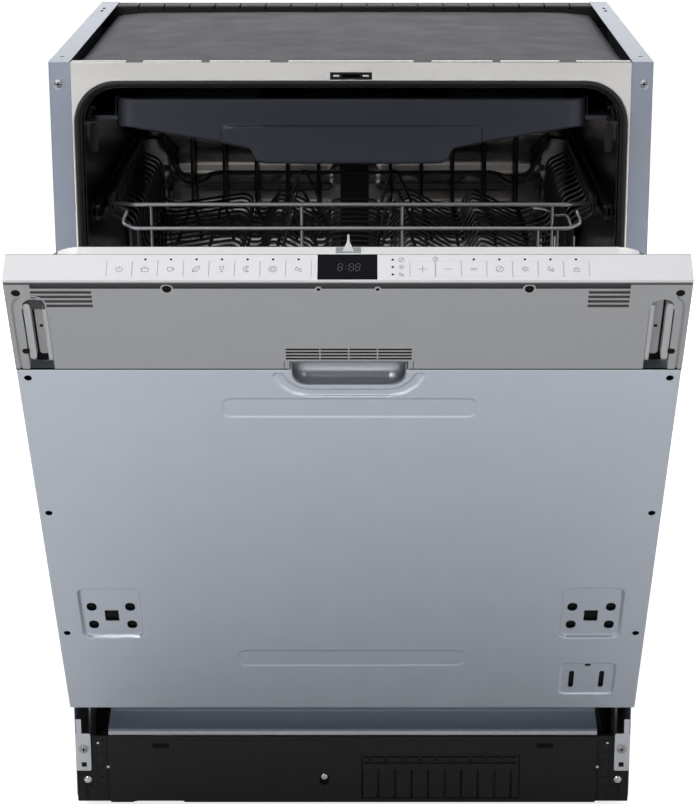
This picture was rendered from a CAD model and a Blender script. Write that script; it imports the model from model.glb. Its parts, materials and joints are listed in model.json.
"""Dresses the frame of a built-in dishwasher with its sheets, wires, plastics and finishes."""

import json
import math

import bmesh
import bpy
from mathutils import Matrix, Vector, noise


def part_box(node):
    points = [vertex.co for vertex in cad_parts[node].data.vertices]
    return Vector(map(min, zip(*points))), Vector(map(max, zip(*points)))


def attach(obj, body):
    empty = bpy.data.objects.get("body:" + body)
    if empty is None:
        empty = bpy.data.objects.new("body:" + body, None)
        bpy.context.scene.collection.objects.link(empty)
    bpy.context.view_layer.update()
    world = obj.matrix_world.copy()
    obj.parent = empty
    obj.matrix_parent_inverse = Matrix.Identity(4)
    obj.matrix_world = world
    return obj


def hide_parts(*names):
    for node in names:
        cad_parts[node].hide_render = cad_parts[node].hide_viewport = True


bl_info = {
    "name": "Built-in dishwasher",
    "version": (1, 0, 0),
    "blender": (4, 5, 0),
    "location": "3D View > Sidebar > Dishwasher",
    "description": "Dresses the frame of a built-in dishwasher with its sheets, wires and plastics",
    "category": "Object",
}

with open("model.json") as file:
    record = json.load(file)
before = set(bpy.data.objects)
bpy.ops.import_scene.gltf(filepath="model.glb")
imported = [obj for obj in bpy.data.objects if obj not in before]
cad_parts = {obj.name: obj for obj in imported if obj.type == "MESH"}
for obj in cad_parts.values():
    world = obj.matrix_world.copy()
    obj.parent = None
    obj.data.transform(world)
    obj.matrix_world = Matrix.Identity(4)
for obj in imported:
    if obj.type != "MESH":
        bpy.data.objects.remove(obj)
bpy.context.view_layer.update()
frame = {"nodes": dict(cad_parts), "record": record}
MM = 0.001

# ------------------------------------------------------------------ places on the frame

JOINTS = {j["name"]: j for j in frame["record"]["behaviour"]["joints"]}
BODY_OF = {n: b for b, nodes in frame["record"]["behaviour"]["bodies"].items() for n in nodes}
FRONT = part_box("side_panel_left")[0].y
HINGE = Vector(JOINTS["door_hinge"]["pos_m"])
AJAR = -math.radians(JOINTS["door_hinge"]["range_deg"][0])
KEY_AXIS = Vector(JOINTS["key_01_press"]["axis"])
STRIP_TILT = math.atan2(KEY_AXIS.y, -KEY_AXIS.z) - AJAR

CABINET = Matrix.Translation((0, FRONT, 0)) @ Matrix.Scale(MM, 4)
DOOR = Matrix.Translation(HINGE) @ Matrix.Rotation(AJAR, 4,
                                                   "X") @ Matrix.Translation(-HINGE) @ CABINET
# The control strip's frame: X along it, Y from its front edge, Z out of its face.
DOOR_T = 55
STRIP_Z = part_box("side_panel_left")[1].z / MM - 15.7
STRIP = DOOR @ Matrix.Translation((0, -DOOR_T, STRIP_Z)) @ Matrix.Rotation(STRIP_TILT, 4, "X")
SPACES = {"cabinet": CABINET, "door": DOOR, "strip": STRIP}


def span(node, space="cabinet"):
    """A node's corners in millimetres from the front plane and the floor, or in its part's own frame."""
    back = SPACES[space].inverted()
    points = [back @ v.co for v in frame["nodes"][node].data.vertices]
    return [Vector(pick(p[i] for p in points) for i in range(3)) for pick in (min, max)]


# ------------------------------------------------------------------ shapes

def smooth(t):
    t = min(max(t, 0.0), 1.0)
    return t * t * (3 - 2 * t)


def mix(a, b, t):
    return a + (b - a) * t


def lines(low, high, step, edges=(), reach=3.0, fine=0.75):
    """Grid lines from low to high, packed closer about each edge."""
    count = max(1, round((high - low) / step))
    found = [low + (high - low) * i / count for i in range(count + 1)]
    steps = int(reach / fine)
    for e in edges:
        found += [e + k * fine for k in range(-steps, steps + 1)]
    found = sorted(v for v in found if low <= v <= high)
    kept = [found[0]]
    for v in found[1:]:
        if v - kept[-1] > fine * 0.4:
            kept.append(v)
    kept[-1] = high
    return kept


def inside(u, v, cu, cv, w, h, r, slope):
    """1 inside a rounded rectangle, 0 outside, with a smooth slope at its edge."""
    qx, qy = abs(u - cu) - (w / 2 - r), abs(v - cv) - (h / 2 - r)
    away = math.hypot(max(qx, 0), max(qy, 0)) + min(max(qx, qy), 0) - r
    return smooth(0.5 - away / slope)


def arc(cx, cy, r, start, end, steps=8):
    """Points on an arc, in degrees."""
    return [(cx + r * math.cos(math.radians(mix(start, end, i / steps))),
             cy + r * math.sin(math.radians(mix(start, end, i / steps)))) for i in range(steps + 1)]


def rounded(x0, y0, x1, y1, r, steps=5):
    """Outline of a rounded rectangle."""
    return (arc(x1 - r, y0 + r, r, -90, 0, steps) + arc(x1 - r, y1 - r, r, 0, 90, steps)
            + arc(x0 + r, y1 - r, r, 90, 180, steps) + arc(x0 + r, y0 + r, r, 180, 270, steps))


def arched(half, low, high, r, steps=10):
    """Outline with two rounded upper corners, from lower left round the top to lower right."""
    return ([(-half, low)] + arc(-half + r, high - r, r, 180, 90, steps)
            + arc(half - r, high - r, r, 90, 0, steps) + [(half, low)])


def fillet(points, r, steps=4):
    """A path with its inner corners rounded."""
    points = [Vector(p) for p in points]
    out = [points[0]]
    for a, b, c in zip(points, points[1:], points[2:]):
        d0, d1 = (a - b), (c - b)
        cut = min(r, d0.length * 0.45, d1.length * 0.45)
        p, q = b + d0.normalized() * cut, b + d1.normalized() * cut
        for i in range(steps + 1):
            t = i / steps
            out.append(p.lerp(b, t).lerp(b.lerp(q, t), t))
    out.append(points[-1])
    return out


class Shape:
    """Points and faces of one piece, in millimetres."""

    def __init__(self):
        self.points, self.faces, self.flat = [], [], set()

    def add(self, points, faces):
        n = len(self.points)
        self.points += [tuple(p) for p in points]
        self.faces += [tuple(n + i for i in f) for f in faces]
        return self

    def block(self, low, high):
        (a, b, c), (d, e, f) = low, high
        return self.add(
            [(a, b, c), (d, b, c), (d, e, c), (a, e, c), (a, b, f), (d, b, f), (d, e, f),
             (a, e, f)],
            [(3, 2, 1, 0), (4, 5, 6, 7), (0, 1, 5, 4), (1, 2, 6, 5), (2, 3, 7, 6), (3, 0, 4, 7)])

    def prism(self, outline, axis, start, end):
        """A closed outline in the two other axes, drawn out along one axis."""
        order = {"x": lambda a, b, t: (t, a, b), "y": lambda a, b, t: (a, t, b), "z": lambda a, b,
                 t: (a, b, t)}
        place, n = order[axis], len(outline)
        points = [place(a, b, t) for t in (start, end) for a, b in outline]
        sides = [(i, (i + 1) % n, n + (i + 1) % n, n + i) for i in range(n)]
        return self.add(points, [tuple(range(n))[::-1], tuple(range(n, 2 * n))] + sides)

    def loft(self, rings, closed=True, caps=True, loop=False):
        """Faces between rings of as many points each."""
        n = len(rings[0])
        points = [p for ring in rings for p in ring]
        faces = []
        last = len(rings) if loop else len(rings) - 1
        for k in range(last):
            a, b = k * n, ((k + 1) % len(rings)) * n
            for i in range(n if closed else n - 1):
                j = (i + 1) % n
                faces.append((a + i, a + j, b + j, b + i))
        if caps and closed and not loop:
            faces += [tuple(range(n))[::-1], tuple(range(len(points) - n, len(points)))]
        return self.add(points, faces)

    def tube(self, path, r, sides=8, loop=False):
        """A round wire along a path."""
        path = [Vector(p) for p in path]
        if loop:
            ahead = [(path[(i + 1) % len(path)] - path[i - 1]).normalized() for i in range(len(path))]
        else:
            ahead = [(path[min(i + 1, len(path) - 1)] - path[max(i - 1, 0)]).normalized()
                     for i in range(len(path))]
        side = ahead[0].orthogonal().normalized()
        rings = []
        for p, d in zip(path, ahead):
            side = (side - d * side.dot(d)).normalized()
            up = d.cross(side)
            rings.append([p + (side * math.cos(a) + up * math.sin(a)) * r
                          for a in (2 * math.pi * k / sides for k in range(sides))])
        return self.loft(rings, loop=loop)

    def lathe(self, profile, centre, axis="z", steps=32):
        """A profile of (radius, height) pairs turned about an axis."""
        turn = {"x": lambda r, t, a: (t, r * math.cos(a), r * math.sin(a)),
                "y": lambda r, t, a: (r * math.cos(a), t, r * math.sin(a)),
                "z": lambda r, t, a: (r * math.cos(a), r * math.sin(a), t)}[axis]
        rings = [[Vector(centre) + Vector(turn(r, t,
                                               2 * math.pi * k / steps)) for k in range(steps)]
                 for r, t in profile]
        if profile[0] == profile[-1]:
            return self.loft(rings[:-1], loop=True)
        return self.loft(rings)

    def sheet(self, us, vs, place):
        """A grid of points that place(u, v) puts in space."""
        n = len(us)
        return self.add([place(u, v) for v in vs for u in us],
                        [(j * n + i, j * n + i + 1, (j + 1) * n + i + 1, (j + 1) * n + i)
                         for j in range(len(vs) - 1) for i in range(n - 1)])

    def both_sides(self):
        """Adds the mirror image across the middle."""
        n = len(self.points)
        self.points += [(-x, y, z) for x, y, z in self.points]
        self.faces += [tuple(n + i for i in reversed(f)) for f in self.faces]
        return self


def finish_mesh(obj, bevel, angle=35, thickness=0):
    """Thickness, rounded edges and smooth shading."""
    if thickness:
        solid = obj.modifiers.new("thickness", "SOLIDIFY")
        solid.thickness, solid.offset = thickness * MM, -1
    if bevel:
        edge = obj.modifiers.new("edges", "BEVEL")
        edge.width, edge.segments = bevel * MM, 2
        edge.limit_method, edge.angle_limit = "ANGLE", math.radians(angle)
        edge.use_clamp_overlap = True
        edge.harden_normals = True
    obj.data.shade_smooth()
    obj.data.set_sharp_from_angle(angle=math.radians(angle))
    if thickness:
        level = obj.modifiers.new("normals", "WEIGHTED_NORMAL")
        level.keep_sharp, level.weight = True, 100


def make(name, shape, finish, node, body=None, space="cabinet", replaces=None, bevel=0.0,
         thickness=0, angle=35, weld=True):
    """One finished piece from a shape. It takes its body and slot from a node of the frame."""
    mesh = bpy.data.meshes.new(name)
    matrix = SPACES[space]
    mesh.from_pydata([matrix @ Vector(p) for p in shape.points], [], shape.faces)
    bm = bmesh.new()
    bm.from_mesh(mesh)
    if weld:
        bmesh.ops.remove_doubles(bm, verts=bm.verts, dist=0.00001)
    bmesh.ops.recalc_face_normals(bm, faces=bm.faces)
    bm.to_mesh(mesh)
    bm.free()
    obj = bpy.data.objects.new(name, mesh)
    bpy.context.scene.collection.objects.link(obj)
    obj.data.materials.append(paint(finish))
    finish_mesh(obj, bevel, angle, thickness)
    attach(obj, body or BODY_OF[node])
    if replaces is None:
        replaces = [node]
    if replaces:
        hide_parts(*replaces)
    return obj


def dress(node, finish, bevel, reshape=None):
    """A copy of a node with rounded edges and its finish, which stands for the node."""
    source = frame["nodes"][node]
    mesh = source.data.copy()
    bm = bmesh.new()
    bm.from_mesh(mesh)
    if reshape:
        for v in bm.verts:
            v.co = reshape(v.co)
    bmesh.ops.remove_doubles(bm, verts=bm.verts, dist=0.00002)
    bmesh.ops.dissolve_limit(bm, angle_limit=math.radians(1), verts=bm.verts, edges=bm.edges)
    bm.to_mesh(mesh)
    bm.free()
    if "custom_normal" in mesh.attributes:
        mesh.attributes.remove(mesh.attributes["custom_normal"])
    obj = bpy.data.objects.new(node + "_finished", mesh)
    bpy.context.scene.collection.objects.link(obj)
    mesh.materials.clear()
    mesh.materials.append(paint(finish))
    finish_mesh(obj, bevel)
    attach(obj, BODY_OF[node])
    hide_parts(node)
    return obj


def cut(obj, shape, space="cabinet"):
    """Cuts a shape out of a piece."""
    mesh = bpy.data.meshes.new("cutter")
    mesh.from_pydata([SPACES[space] @ Vector(p) for p in shape.points], [], shape.faces)
    bm = bmesh.new()
    bm.from_mesh(mesh)
    bmesh.ops.recalc_face_normals(bm, faces=bm.faces)
    bm.to_mesh(mesh)
    bm.free()
    tool = bpy.data.objects.new("cutter", mesh)
    bpy.context.scene.collection.objects.link(tool)
    hole = obj.modifiers.new("holes", "BOOLEAN")
    hole.object, hole.operation, hole.solver = tool, "DIFFERENCE", "EXACT"
    hole.use_self = True
    graph = bpy.context.evaluated_depsgraph_get()
    result = bpy.data.meshes.new_from_object(obj.evaluated_get(graph))
    obj.modifiers.clear()
    old, obj.data = obj.data, result
    bpy.data.meshes.remove(old)
    bpy.data.objects.remove(tool)
    bpy.data.meshes.remove(mesh)
    obj.data.shade_smooth()
    obj.data.set_sharp_from_angle(angle=math.radians(35))
    level = obj.modifiers.new("normals", "WEIGHTED_NORMAL")
    level.keep_sharp, level.weight = True, 100
    return obj


# ------------------------------------------------------------------ finishes

class Value:
    """A shader output on which plain Python operators work."""

    def __init__(self, paint, socket):
        self.paint, self.socket = paint, socket

    def math(self, operation, a, b):
        return self.paint.node("ShaderNodeMath", {"operation": operation}, {0: a, 1: b})

    def __add__(self, other):
        return self.math("ADD", self, other)

    def __mul__(self, other):
        return self.math("MULTIPLY", self, other)


class Paint:
    """Builds the nodes of one material."""

    def __init__(self, name):
        self.material = bpy.data.materials.new(name)
        self.material.use_nodes = True
        self.tree = self.material.node_tree
        self.tree.nodes.clear()
        self.out = self.tree.nodes.new("ShaderNodeOutputMaterial")
        self.shader = self.tree.nodes.new("ShaderNodeBsdfPrincipled")
        self.tree.links.new(self.shader.outputs[0], self.out.inputs[0])

    def feed(self, socket, value):
        if isinstance(value, Value):
            self.tree.links.new(value.socket, socket)
        elif socket.type == "RGBA" and len(value) == 3:
            socket.default_value = (*value, 1)
        else:
            socket.default_value = value

    def node(self, kind, settings=None, inputs=None, output=0):
        n = self.tree.nodes.new(kind)
        for key, value in (settings or {}).items():
            if key == "stops":
                ramp = n.color_ramp
                while len(ramp.elements) < len(value):
                    ramp.elements.new(0.5)
                for element, (position, colour) in zip(ramp.elements, value):
                    element.position, element.color = position, (*colour, 1)
            else:
                setattr(n, key, value)
        for key, value in (inputs or {}).items():
            self.feed(n.inputs[key], value)
        return Value(self, n.outputs[output])

    def set(self, **values):
        """Constant values on the shader, with underscores for blanks."""
        for key, value in values.items():
            self.feed(self.shader.inputs[key.replace("_", " ")], value)
        return self

    def place(self, scale=(1, 1, 1)):
        where = self.node("ShaderNodeTexCoord", output="Object")
        return self.node("ShaderNodeMapping", {}, {"Vector": where, "Scale": scale})

    def noise(self, scale, detail=2.0, stretch=(1, 1, 1), rough=0.5):
        return self.node("ShaderNodeTexNoise", {}, {
            "Vector": self.place(stretch), "Scale": scale, "Detail": detail, "Roughness": rough})

    def blend(self, a, b, factor):
        return self.node("ShaderNodeMix", {"data_type": "RGBA"}, {0: factor, 6: a, 7: b}, output=2)

    def colour(self, base, spread, scale=40.0, stretch=(1, 1, 1)):
        """The base colour, a little lighter and darker in patches."""
        dark = tuple(c * (1 - spread) for c in base)
        light = tuple(min(c * (1 + spread), 1) for c in base)
        mixed = self.blend(dark, light, self.noise(scale, 3.0, stretch))
        self.feed(self.shader.inputs["Base Color"], mixed)
        return self

    def rough(self, low, high, scale=60.0, stretch=(1, 1, 1)):
        n = self.noise(scale, 2.0, stretch)
        self.feed(self.shader.inputs["Roughness"], n * (high - low) + low)
        return self

    def bump(self, height, strength, distance=0.0002):
        n = self.node("ShaderNodeBump", {},
                      {"Height": height, "Strength": strength, "Distance": distance})
        self.feed(self.shader.inputs["Normal"], n)
        return self


def srgb(r, g, b):
    """A screen colour from 0 to 255, as the shader's linear one."""
    return tuple((c / 255 / 12.92) if c <= 10 else ((c / 255 + 0.055) / 1.055) ** 2.4 for c in (r,
                                                                                                g, b))


def coated_sheet(name, colour, metallic=0.5, low=0.36, high=0.46):
    """Smooth painted or galvanised sheet with a faint mottle."""
    p = Paint(name)
    p.colour(colour, 0.03, 26.0).rough(low, high, 120.0).set(Metallic=metallic)
    return p.bump(p.noise(1400.0, 2.0), 0.05, 0.0001).material


def rolled_steel(name, colour, low, high, stretch, metallic=1.0):
    """Bare rolled steel with fine streaks along one way and soft clouds."""
    p = Paint(name)
    streaks = p.noise(420.0, 3.0, stretch)
    clouds = p.noise(7.0, 3.0)
    dark, light = tuple(c * 0.95 for c in colour), tuple(min(c * 1.04, 1) for c in colour)
    tone = p.blend(dark, light, streaks * 0.3 + clouds * 0.7)
    p.feed(p.shader.inputs["Base Color"], tone)
    p.feed(p.shader.inputs["Roughness"], streaks * (high - low) + low)
    p.set(Metallic=metallic)
    return p.bump(streaks, 0.02, 0.0001).material


def moulded(name, colour, low=0.42, high=0.55, grain=0.12, coat=0.0, spread=0.05, shine=0.5,
            metallic=0.0):
    """Moulded plastic with a fine grain."""
    p = Paint(name)
    p.colour(colour, spread, 34.0).rough(low, high, 160.0)
    p.set(Specular_IOR_Level=shine, Metallic=metallic)
    if coat:
        p.set(Coat_Weight=coat, Coat_Roughness=0.12)
    return p.bump(p.noise(2600.0, 2.0), grain, 0.0001).material


def wire_steel(name, colour, low, high, metallic=1.0):
    """Round drawn wire, a little uneven in tone."""
    p = Paint(name)
    p.colour(colour, 0.06, 60.0).rough(low, high, 90.0).set(Metallic=metallic)
    return p.material


def felt(name, colour):
    """Bitumen felt: a matted fibre with lighter specks."""
    p = Paint(name)
    fibre = p.noise(1500.0, 4.0, rough=0.7)
    cloud = p.noise(9.0, 4.0)
    tone = p.blend(tuple(c * 0.72 for c in colour), tuple(c * 1.3 for c in colour),
                   fibre * 0.55 + cloud * 0.45)
    p.feed(p.shader.inputs["Base Color"], tone)
    p.rough(0.5, 0.8, 30.0)
    return p.bump(fibre + cloud * 0.5, 0.35, 0.0004).material


def glass_black(name, colour):
    """Glossy dark window with faint wipe marks."""
    p = Paint(name)
    p.colour(colour, 0.15, 30.0).rough(0.12, 0.2, 40.0).set(Specular_IOR_Level=0.03)
    return p.bump(p.noise(30.0, 2.0), 0.02, 0.0001).material


def glow(name, colour, strength):
    """Lit segments behind the window."""
    p = Paint(name)
    p.colour(colour, 0.1, 200.0).rough(0.4, 0.5, 60.0)
    p.feed(p.shader.inputs["Emission Color"], colour)
    return p.set(Emission_Strength=strength).material


# key: label, colour on the screen, kind of finish, material and its settings
FINISHES = {
    "side_steel": ("Side panels", (152, 159, 173), coated_sheet, "side_sheet", (0.8, 0.34, 0.42),
                   {}),
    "liner_steel": ("Door liner", (206, 205, 203), rolled_steel, "liner_sheet",
                    (0.24, 0.32, (0.04, 1, 1)), {}),
    "liner_edge": ("Upper edge of the door liner", (252, 252, 252), rolled_steel,
                   "liner_edge_sheet", (0.3, 0.38, (0.04, 1, 1), 0.05), {}),
    "door_steel": ("Door's outer panel", (195, 201, 211), coated_sheet, "door_sheet",
                   (0.85, 0.3, 0.36), {}),
    "galvanised_steel": ("Galvanised sheets and brackets", (200, 204, 210), coated_sheet,
                         "galvanised_sheet", (0.8, 0.35, 0.5), {}),
    "stainless_steel": ("Front frame", (218, 216, 214), rolled_steel, "stainless_sheet",
                        (0.22, 0.28, (0.04, 1, 1)), {}),
    "tub_steel": ("Tub's inner sheet", (156, 152, 149), rolled_steel, "tub_sheet",
                  (0.1, 0.16, (1, 1, 0.05)), {}),
    "bright_steel": ("Screws and springs", (225, 225, 228), wire_steel, "bright_steel",
                     (0.14, 0.24), {}),
    "rail_steel": ("Slides", (150, 152, 156), wire_steel, "rail_steel", (0.25, 0.35), {}),
    "screw_steel": ("Frame screws", (178, 180, 184), wire_steel, "screw_steel", (0.3, 0.4, 0.8),
                    {}),
    "coated_wire": ("Bright basket wires", (170, 170, 174), wire_steel, "coated_wire",
                    (0.26, 0.34, 0.85), {}),
    "dark_wire": ("Dark basket wires", (44, 44, 48), wire_steel, "dark_wire", (0.25, 0.36, 0.4),
                  {}),
    "slate_steel": ("Lower front panel", (120, 130, 143), coated_sheet, "slate_sheet",
                    (0.15, 0.35, 0.45), {}),
    "black_plastic": ("Base and plinth", (26, 26, 28), moulded, "black_moulding",
                      (0.45, 0.58, 0.15), {"shine": 0.3}),
    "grey_plastic": ("Control housing", (149, 150, 152), moulded, "grey_moulding",
                     (0.5, 0.58, 0.03), {"spread": 0.008}),
    "slate_plastic": ("Cutlery tray", (56, 60, 71), moulded, "slate_moulding", (0.36, 0.44, 0.06),
                      {}),
    "white_plastic": ("Control strip and keys", (212, 212, 215), moulded, "white_moulding",
                      (0.3, 0.38, 0.05), {"spread": 0.015}),
    "light_plastic": ("Latch", (205, 208, 210), moulded, "light_moulding", (0.3, 0.4, 0.06), {}),
    "latch_grey": ("Latch block", (150, 154, 157), moulded, "latch_moulding", (0.25, 0.35, 0.03),
                   {}),
    "metallic_plastic": ("Grip cup", (146, 149, 155), moulded, "metallic_lacquer",
                         (0.3, 0.36, 0.0, 0.3), {"metallic": 0.95, "spread": 0.02}),
    "display_glass": ("Display window", (7, 8, 11), glass_black, "display_window", (), {}),
    "black_rubber": ("Door seal", (26, 26, 28), moulded, "gasket_rubber", (0.4, 0.55, 0.25), {}),
    "felt": ("Top mat", (78, 76, 81), felt, "bitumen_felt", (), {}),
    "wall_steel": ("Tub's side walls", (108, 105, 106), rolled_steel, "tub_wall_sheet",
                   (0.16, 0.24, (1, 1, 0.05)), {}),
    "recess": ("Recesses of the housing", (58, 58, 60), moulded, "recess_moulding",
               (0.5, 0.6, 0.05), {"shine": 0.2}),
    "rib_grey": ("Ribs of the housing", (166, 167, 169), moulded, "rib_moulding",
                 (0.45, 0.55, 0.03), {"spread": 0.01}),
    "tab_steel": ("Lower fixing tabs", (206, 209, 214), coated_sheet, "tab_sheet",
                  (0.2, 0.35, 0.45), {}),
    "ink": ("Indicator dots", (8, 8, 9), moulded, "indicator_ink", (0.4, 0.5, 0.02),
            {"shine": 0.1}),
    "line_grey": ("Lines between the keys", (176, 176, 179), moulded, "printed_lines",
                  (0.5, 0.6, 0.02), {}),
    "print": ("Marks on the strip", (112, 113, 116), moulded, "printed_marks", (0.5, 0.6, 0.02),
              {}),
    "digits": ("Display digits", (40, 43, 48), glow, "display_segments", (0.03,), {}),
}
PAINTS = {}


# ------------------------------------------------------------------ settings

class DishwasherSizes(bpy.types.PropertyGroup):
    """Sizes of the finished pieces that the frame leaves open."""

    camera_place: bpy.props.FloatVectorProperty(
        name="Camera place", description="Where the camera stands, from the front plane's middle",
        size=3, default=(0.02005, -2.30485, 1.15445), unit="LENGTH")
    camera_pitch: bpy.props.FloatProperty(
        name="Camera pitch", description="How far the camera looks down",
        default=math.radians(16.661), subtype="ANGLE")
    lens: bpy.props.FloatProperty(name="Lens", description="Focal length in millimetres",
                                  default=104.56)
    shift: bpy.props.FloatProperty(name="Shift", description="Sideways shift of the view",
                                   default=-0.02895)
    wire: bpy.props.FloatProperty(
        name="Wire radius", description="Radius of the bright basket wires", default=0.0022, unit="LENGTH")
    tine: bpy.props.FloatProperty(
        name="Tine radius", description="Radius of the thin basket wires", default=0.0015, unit="LENGTH")
    tine_pitch: bpy.props.FloatProperty(
        name="Tine pitch", description="Spacing of the tines in a row", default=0.0125, unit="LENGTH")
    rack_pitch: bpy.props.FloatProperty(
        name="Rack pitch", description="Spacing of the upper basket's cross wires", default=0.025, unit="LENGTH")
    mat_rise: bpy.props.FloatProperty(
        name="Mat rise", description="How far the top mat bulges", default=0.004, unit="LENGTH")
    bend: bpy.props.FloatProperty(
        name="Sheet bend", description="Radius of the door sheet's folded edges", default=0.0015, unit="LENGTH")
    ridges: bpy.props.IntProperty(
        name="Tub ridges", description="Ridges pressed across the tub's back", default=11, min=3, max=20)
    spring_turns: bpy.props.IntProperty(
        name="Spring turns", description="Turns of each door spring", default=26, min=10, max=40)


class DishwasherColours(bpy.types.PropertyGroup):
    """Base colour of each finish."""

    __annotations__ = {
        key: bpy.props.FloatVectorProperty(
            name=label, description="Base colour: " + label.lower(), subtype="COLOR", size=3,
            min=0, max=1, default=srgb(*rgb))
        for key, (label, rgb, *_) in FINISHES.items()
    }


def sizes():
    return bpy.context.scene.dishwasher_sizes


def paint(key):
    """The material of one finish, built once."""
    if key not in PAINTS:
        colour = tuple(getattr(bpy.context.scene.dishwasher_colours, key))
        kind, name, settings, extras = FINISHES[key][2:]
        PAINTS[key] = kind(name, colour, *settings, **extras)
    return PAINTS[key]


# ------------------------------------------------------------------ cabinet

HALF = span("side_panel_right")[1].x
TOP = span("side_panel_right")[1].z
DEPTH = span("side_panel_right")[1].y
LOW = span("side_panel_right")[0].z
TUB_TOP = 787.5
MOUTH_TOP = 796.5
MOUTH = 276
MOUTH_R = 44
FRAME_HALF = 277.3
TUB_HALF = 267
SILL = 39.2  # where the tub begins behind the door's swing


class OBJECT_OT_side_panels(bpy.types.Operator):
    """Side panels: folded sheets with pressed beads, flanges and lower tabs"""

    bl_idname = "object.dishwasher_side_panels"
    bl_label = "Side panels"

    def execute(self, context):
        beads = [(120, 120, 26, 560), (366, 366, 26, 560)]
        for side, node in ((1, "side_panel_right"), (-1, "side_panel_left")):
            def depth(y, z):
                press = max(inside(y, z, a, 470, w, h, 12, 8) for a, b, w, h in beads)
                edge = 1 - smooth(min(y, DEPTH - y) / 1.2)
                return 1.4 * press + 0.5 * edge

            ys = lines(0, DEPTH, 16, [0, 107, 133, 353, 379, DEPTH], 6, 1.0)
            zs = lines(LOW, TOP, 20, [LOW, 190, 750, TOP], 8, 1.5)
            s = Shape().sheet(ys, zs, lambda y, z: (side * (HALF - depth(y, z)), y, z))
            make(node + "_sheet", s, "side_steel", node, thickness=0.8)
            s = Shape()
            flange = [(277.5, 0.9), (277.5, 0), (297.8, 0), (298.7, 0.3), (299, 1.2), (298.2, 1.2),
                      (298, 0.9)]
            s.prism([(side * x, y) for x, y in flange], "z", 194, TOP - 0.4)
            top = [(HALF - 20.5, TOP - 1), (HALF - 20.5, TOP), (HALF - 1, TOP),
                   (HALF - 0.2, TOP - 0.8), (HALF - 1, TOP - 1)]
            s.prism([(side * x, z) for x, z in top], "y", 0.5, DEPTH)
            tab = rounded(HALF - 16.6, 48.5, HALF - 0.2, 92, 2)
            folds = make(node + "_folds", s, "side_steel", node, replaces=[], bevel=0.15)
            holes = Shape()
            x = side * (HALF - 9)
            for z in (TOP - 22, 74):
                holes.lathe([(2.5, -2), (2.5, 3)], (x, 0, z), "y", 16)
            holes.lathe([(2.5, TOP - 3), (2.5, TOP + 3)], (x, 38, 0), "z", 16)
            for y in (400, 424):
                holes.prism(rounded(x - 1.8, y - 6, x + 1.8, y + 6, 1.7), "z", TOP - 3, TOP + 3)
            holes.prism(rounded(x - 2.75, 53, x + 2.75, 58.5, 0.4), "y", -2, 3)
            cut(folds, holes)
            s = Shape().prism([(side * x, z) for x, z in tab], "y", 0, 1)
            s.prism([(side * x, y) for x, y in ((292, 0.6), (298, 0.4), (298.9, 1.2), (298, 1.6),
                                                (292, 1.4))], "z", 91.5, 108.5)
            plate = make(node + "_tab", s, "tab_steel", node, replaces=[], bevel=0.15)
            cut(plate, holes)
        return {"FINISHED"}


class OBJECT_OT_frame_screws(bpy.types.Operator):
    """Pan-head screws with a crossed recess"""

    bl_idname = "object.dishwasher_frame_screws"
    bl_label = "Frame screws"

    def execute(self, context):
        s = Shape()
        slots = Shape()
        for x in (HALF - 9, 9 - HALF):
            for z in (TOP - 22, 74):
                s.lathe([(0.01, -2.1), (2.4, -2.05), (3.3, -1.7), (3.9, -0.9), (4.3, -0.75),
                         (5.2, -0.7), (5.4, -0.2),
                         (2.2, -0.2), (2.2, 8.5), (0.01, 9)], (x, 0, z), "y", 24)
                for w, h in ((2.7, 0.6), (0.6, 2.7)):
                    slots.block((x - w, -3, z - h), (x + w, -0.8, z + h))
        screws = make("frame_screws_heads", s, "screw_steel", "frame_screws")
        cut(screws, slots)
        s = Shape()
        for x in (HALF - 9, 9 - HALF):
            for z in (TOP - 22, 74):
                for w, h in ((2.6, 0.5), (0.5, 2.6)):
                    s.block((x - w, -1.3, z - h), (x + w, -0.6, z + h))
        make("frame_screws_recess", s, "ink", "frame_screws", replaces=[])
        return {"FINISHED"}


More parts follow.
